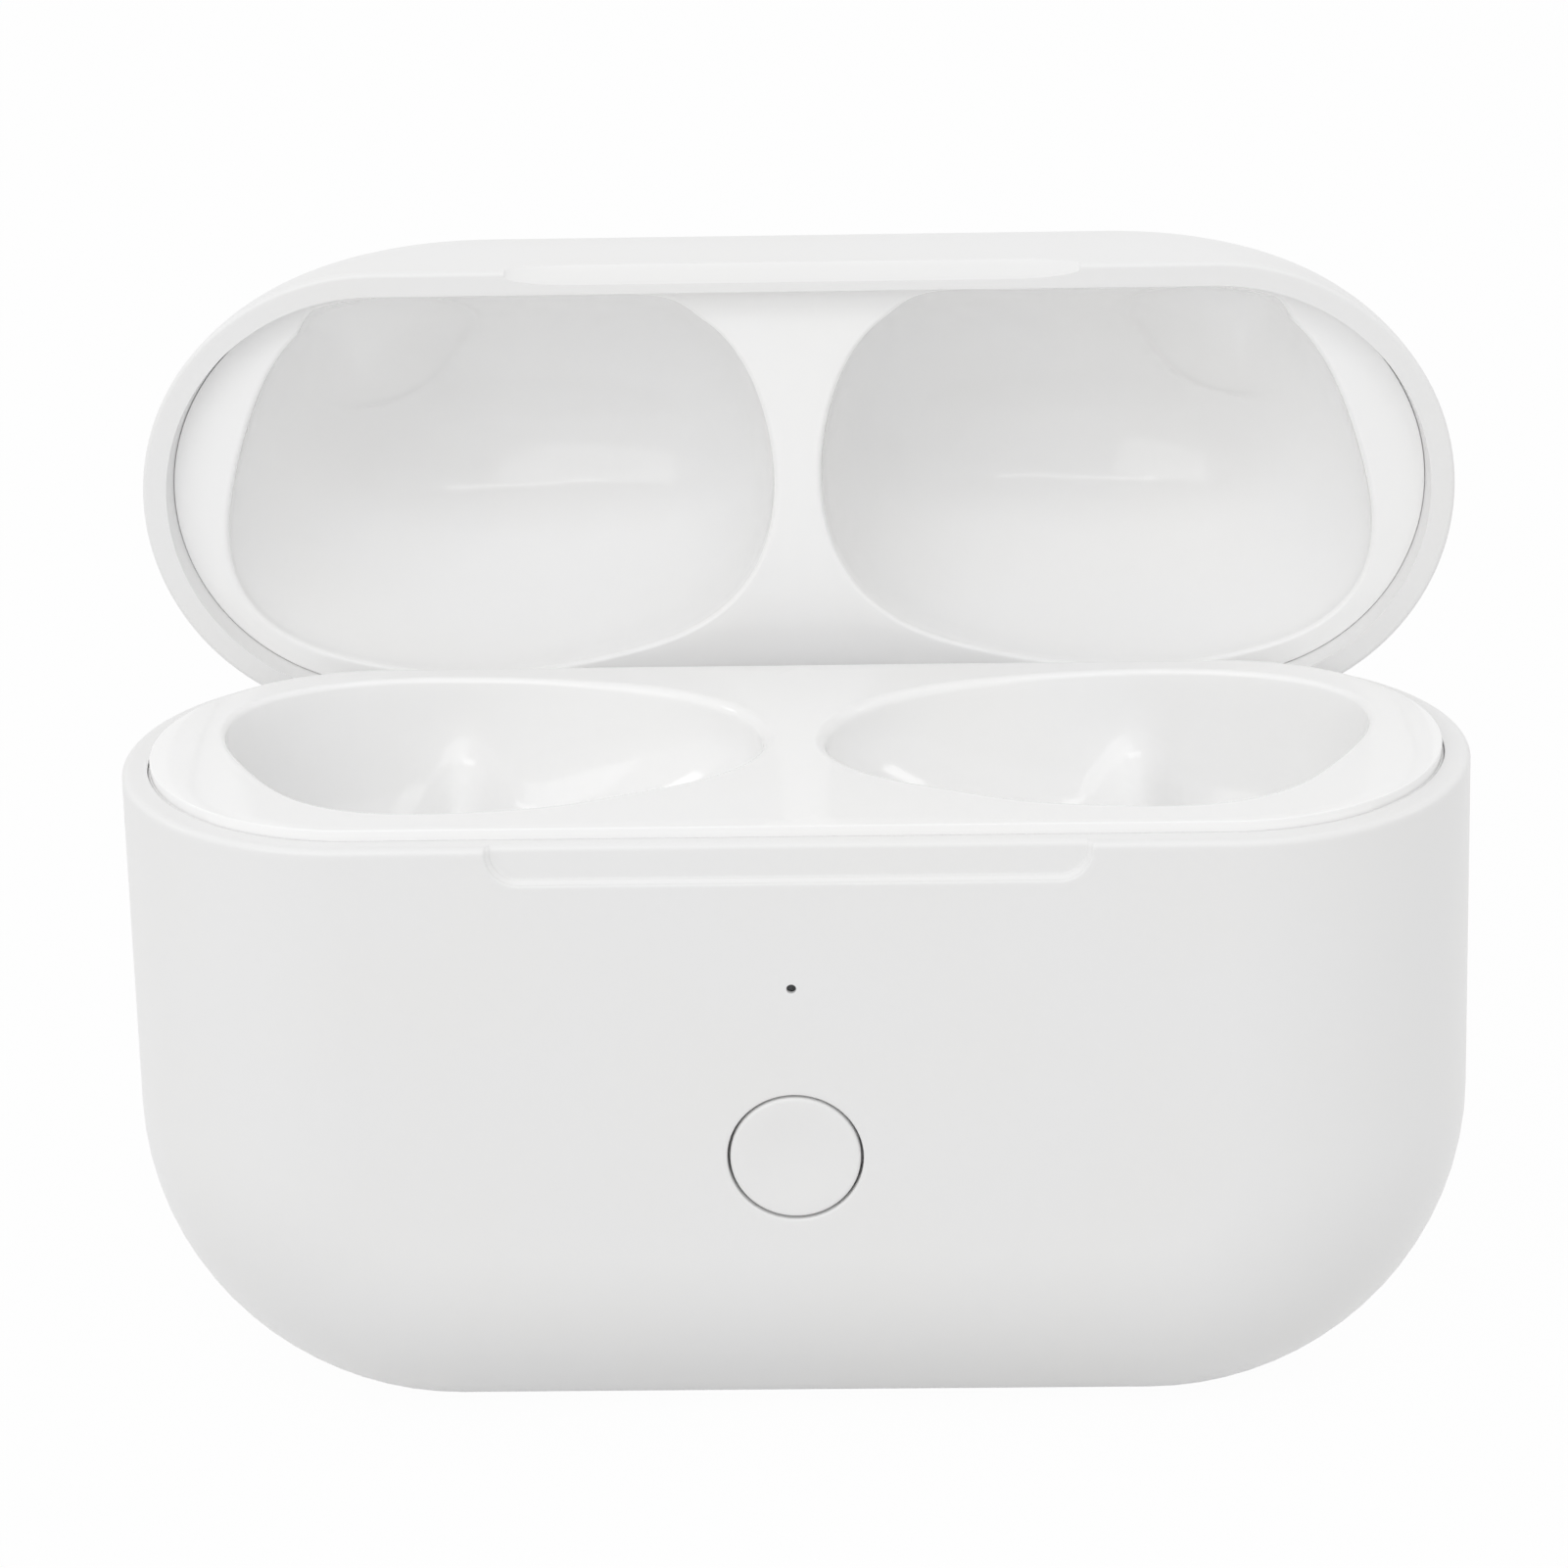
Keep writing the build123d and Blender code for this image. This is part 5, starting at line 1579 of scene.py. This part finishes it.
def build_floor():
    """Pale disc under the case that keeps its shadow, and is nearly plain white where it is shown."""
    skin = Skin()
    spacing = np.linspace(0, FLOOR_RADIUS, 9), np.linspace(0, 2 * PI, 65)
    radius, turn = np.meshgrid(*spacing, indexing="ij")
    skin.grid(stack(radius * np.cos(turn), radius * np.sin(turn), -FLOOR_DROP))
    floor = skin.piece("floor")
    finish = Finish("pale_floor", Roughness=0.9)
    cloud = finish.noise(40.0, 2.0)
    finish.set(Base_Color=finish.blend(cloud, (0.73, 0.73, 0.73), (0.75, 0.75, 0.75)))
    glow = finish.node("ShaderNodeEmission", {}, {"Color": WHITE, "Strength": 1.0})
    share = finish.shown() * FLOOR_WHITE
    both = finish.node("ShaderNodeMixShader", {}, {0: share, 1: finish.surface, 2: glow})
    finish.tree.links.new(both.socket, finish.output.inputs[0])
    floor.data.materials.append(finish.material)


def build_stage(settings):
    """Pale floor that keeps the case's shadow, a soft white surround, and four soft lamps."""
    bpy.context.scene.view_settings.view_transform = "Standard"
    build_surround(settings.surround)
    build_floor()
    area_light("long_lamp", (0, -350, 510), (420, 110), settings.over)
    area_light("left_lamp", (-283, -471, 357), (529, 400), settings.left)
    for side in (-1, 1):
        area_light("side_lamp", (side * 518, 101, 325), (130, 100), settings.side)


# ---------------------------------------------------------------- add-on
class EarbudsCaseSettings(bpy.types.PropertyGroup):
    """Sizes, colours and levels of light that a user would change."""

    shell_colour: bpy.props.FloatVectorProperty(
        name="Shell", description="Colour of the outer mouldings", size=3, subtype="COLOR",
        default=(0.86, 0.86, 0.86), min=0, max=1,
    )  # fmt: skip
    liner_colour: bpy.props.FloatVectorProperty(
        name="Liner", description="Colour of the inner mouldings", size=3, subtype="COLOR",
        default=(0.95, 0.95, 0.95), min=0, max=1,
    )  # fmt: skip
    shell_roughness: bpy.props.FloatProperty(
        name="Shell roughness", description="Roughness of the outer mouldings", default=0.34, min=0, max=1,
        subtype="FACTOR",
    )  # fmt: skip
    liner_roughness: bpy.props.FloatProperty(
        name="Liner roughness", description="Roughness of the inner mouldings", default=0.09, min=0, max=1,
        subtype="FACTOR",
    )  # fmt: skip
    well_depth: bpy.props.FloatProperty(
        name="Well depth", description="Depth of the wells below the deck", default=0.008, min=0.004,
        max=0.008, unit="LENGTH",
    )  # fmt: skip
    surround: bpy.props.FloatProperty(
        name="Surround", description="Strength of the soft surround", default=0.80, min=0
    )
    over: bpy.props.FloatProperty(
        name="Long lamp", description="Power of the long lamp above the front", default=0.32, min=0,
        unit="POWER",
    )  # fmt: skip
    left: bpy.props.FloatProperty(
        name="Left lamp", description="Power of the lamp at the front left", default=0.60, min=0,
        unit="POWER",
    )  # fmt: skip
    side: bpy.props.FloatProperty(
        name="Side lamps", description="Power of each of the two side lamps", default=0.115, min=0,
        unit="POWER",
    )  # fmt: skip


def install(piece, node, body, slot):
    """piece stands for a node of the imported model, on that node's body and in that slot's finish."""
    piece.data.materials.append(finish_of(slot))
    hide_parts(node)
    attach(piece, body)


class EARBUDS_OT_stage(bpy.types.Operator):
    """Adds the camera, the floor and the lamps"""

    bl_idname = "earbuds.stage"
    bl_label = "Stage"

    def execute(self, context):
        build_camera()
        build_stage(context.scene.earbuds_case)
        return {"FINISHED"}


class EARBUDS_OT_base_shell(bpy.types.Operator):
    """Builds the outer moulding of the base"""

    bl_idname = "earbuds.base_shell"
    bl_label = "Base shell"

    def execute(self, context):
        install(build_base_shell(), "base_shell", "base", "white_shell")
        return {"FINISHED"}


class EARBUDS_OT_lid_shell(bpy.types.Operator):
    """Builds the outer moulding of the lid"""

    bl_idname = "earbuds.lid_shell"
    bl_label = "Lid shell"

    def execute(self, context):
        install(build_lid_shell(), "lid_shell", "lid", "white_shell")
        return {"FINISHED"}


class EARBUDS_OT_cradle(bpy.types.Operator):
    """Builds the inner moulding of the base"""

    bl_idname = "earbuds.cradle"
    bl_label = "Cradle"

    def execute(self, context):
        cradle = build_cradle(context.scene.earbuds_case.well_depth / MM)
        install(cradle, "base_cradle", "base", "white_liner")
        return {"FINISHED"}


class EARBUDS_OT_liner(bpy.types.Operator):
    """Builds the inner moulding of the lid"""

    bl_idname = "earbuds.liner"
    bl_label = "Lid liner"

    def execute(self, context):
        install(build_liner(), "lid_liner", "lid", "white_liner")
        return {"FINISHED"}


class EARBUDS_OT_button(bpy.types.Operator):
    """Builds the pairing button"""

    bl_idname = "earbuds.button"
    bl_label = "Button"

    def execute(self, context):
        install(build_button(), "button_cap", "button", "white_shell")
        return {"FINISHED"}


class EARBUDS_OT_pad(bpy.types.Operator):
    """Builds the foam pad behind the cell"""

    bl_idname = "earbuds.pad"
    bl_label = "Foam pad"

    def execute(self, context):
        pad = build_pad()
        install(pad, "battery_pad", "base", "foam")
        return {"FINISHED"}


class EARBUDS_OT_inner_parts(bpy.types.Operator):
    """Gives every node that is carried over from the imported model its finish"""

    bl_idname = "earbuds.inner_parts"
    bl_label = "Inner parts"

    def execute(self, context):
        for node in frame["nodes"].values():
            for slot in node.material_slots:
                slot.material = finish_of(slot.material.name)
        return {"FINISHED"}


class EARBUDS_PT_panel(bpy.types.Panel):
    """Lists the case's operators and settings"""

    bl_idname = "EARBUDS_PT_panel"
    bl_label = "Earbuds case"
    bl_space_type = "VIEW_3D"
    bl_region_type = "UI"
    bl_category = "Earbuds case"

    def draw(self, context):
        for operator in OPERATORS:
            self.layout.operator(operator.bl_idname)
        for name in EarbudsCaseSettings.__annotations__:
            self.layout.prop(context.scene.earbuds_case, name)


OPERATORS = (
    EARBUDS_OT_stage,
    EARBUDS_OT_base_shell,
    EARBUDS_OT_lid_shell,
    EARBUDS_OT_cradle,
    EARBUDS_OT_liner,
    EARBUDS_OT_button,
    EARBUDS_OT_pad,
    EARBUDS_OT_inner_parts,
)
CLASSES = (EarbudsCaseSettings, *OPERATORS, EARBUDS_PT_panel)


def register():
    for item in CLASSES:
        bpy.utils.register_class(item)
    bpy.types.Scene.earbuds_case = bpy.props.PointerProperty(type=EarbudsCaseSettings)


def unregister():
    del bpy.types.Scene.earbuds_case
    for item in reversed(CLASSES):
        bpy.utils.unregister_class(item)


def main():
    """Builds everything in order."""
    register()
    for operator in OPERATORS:
        group, name = operator.bl_idname.split(".")
        getattr(getattr(bpy.ops, group), name)()


if __name__ == "__main__":
    main()
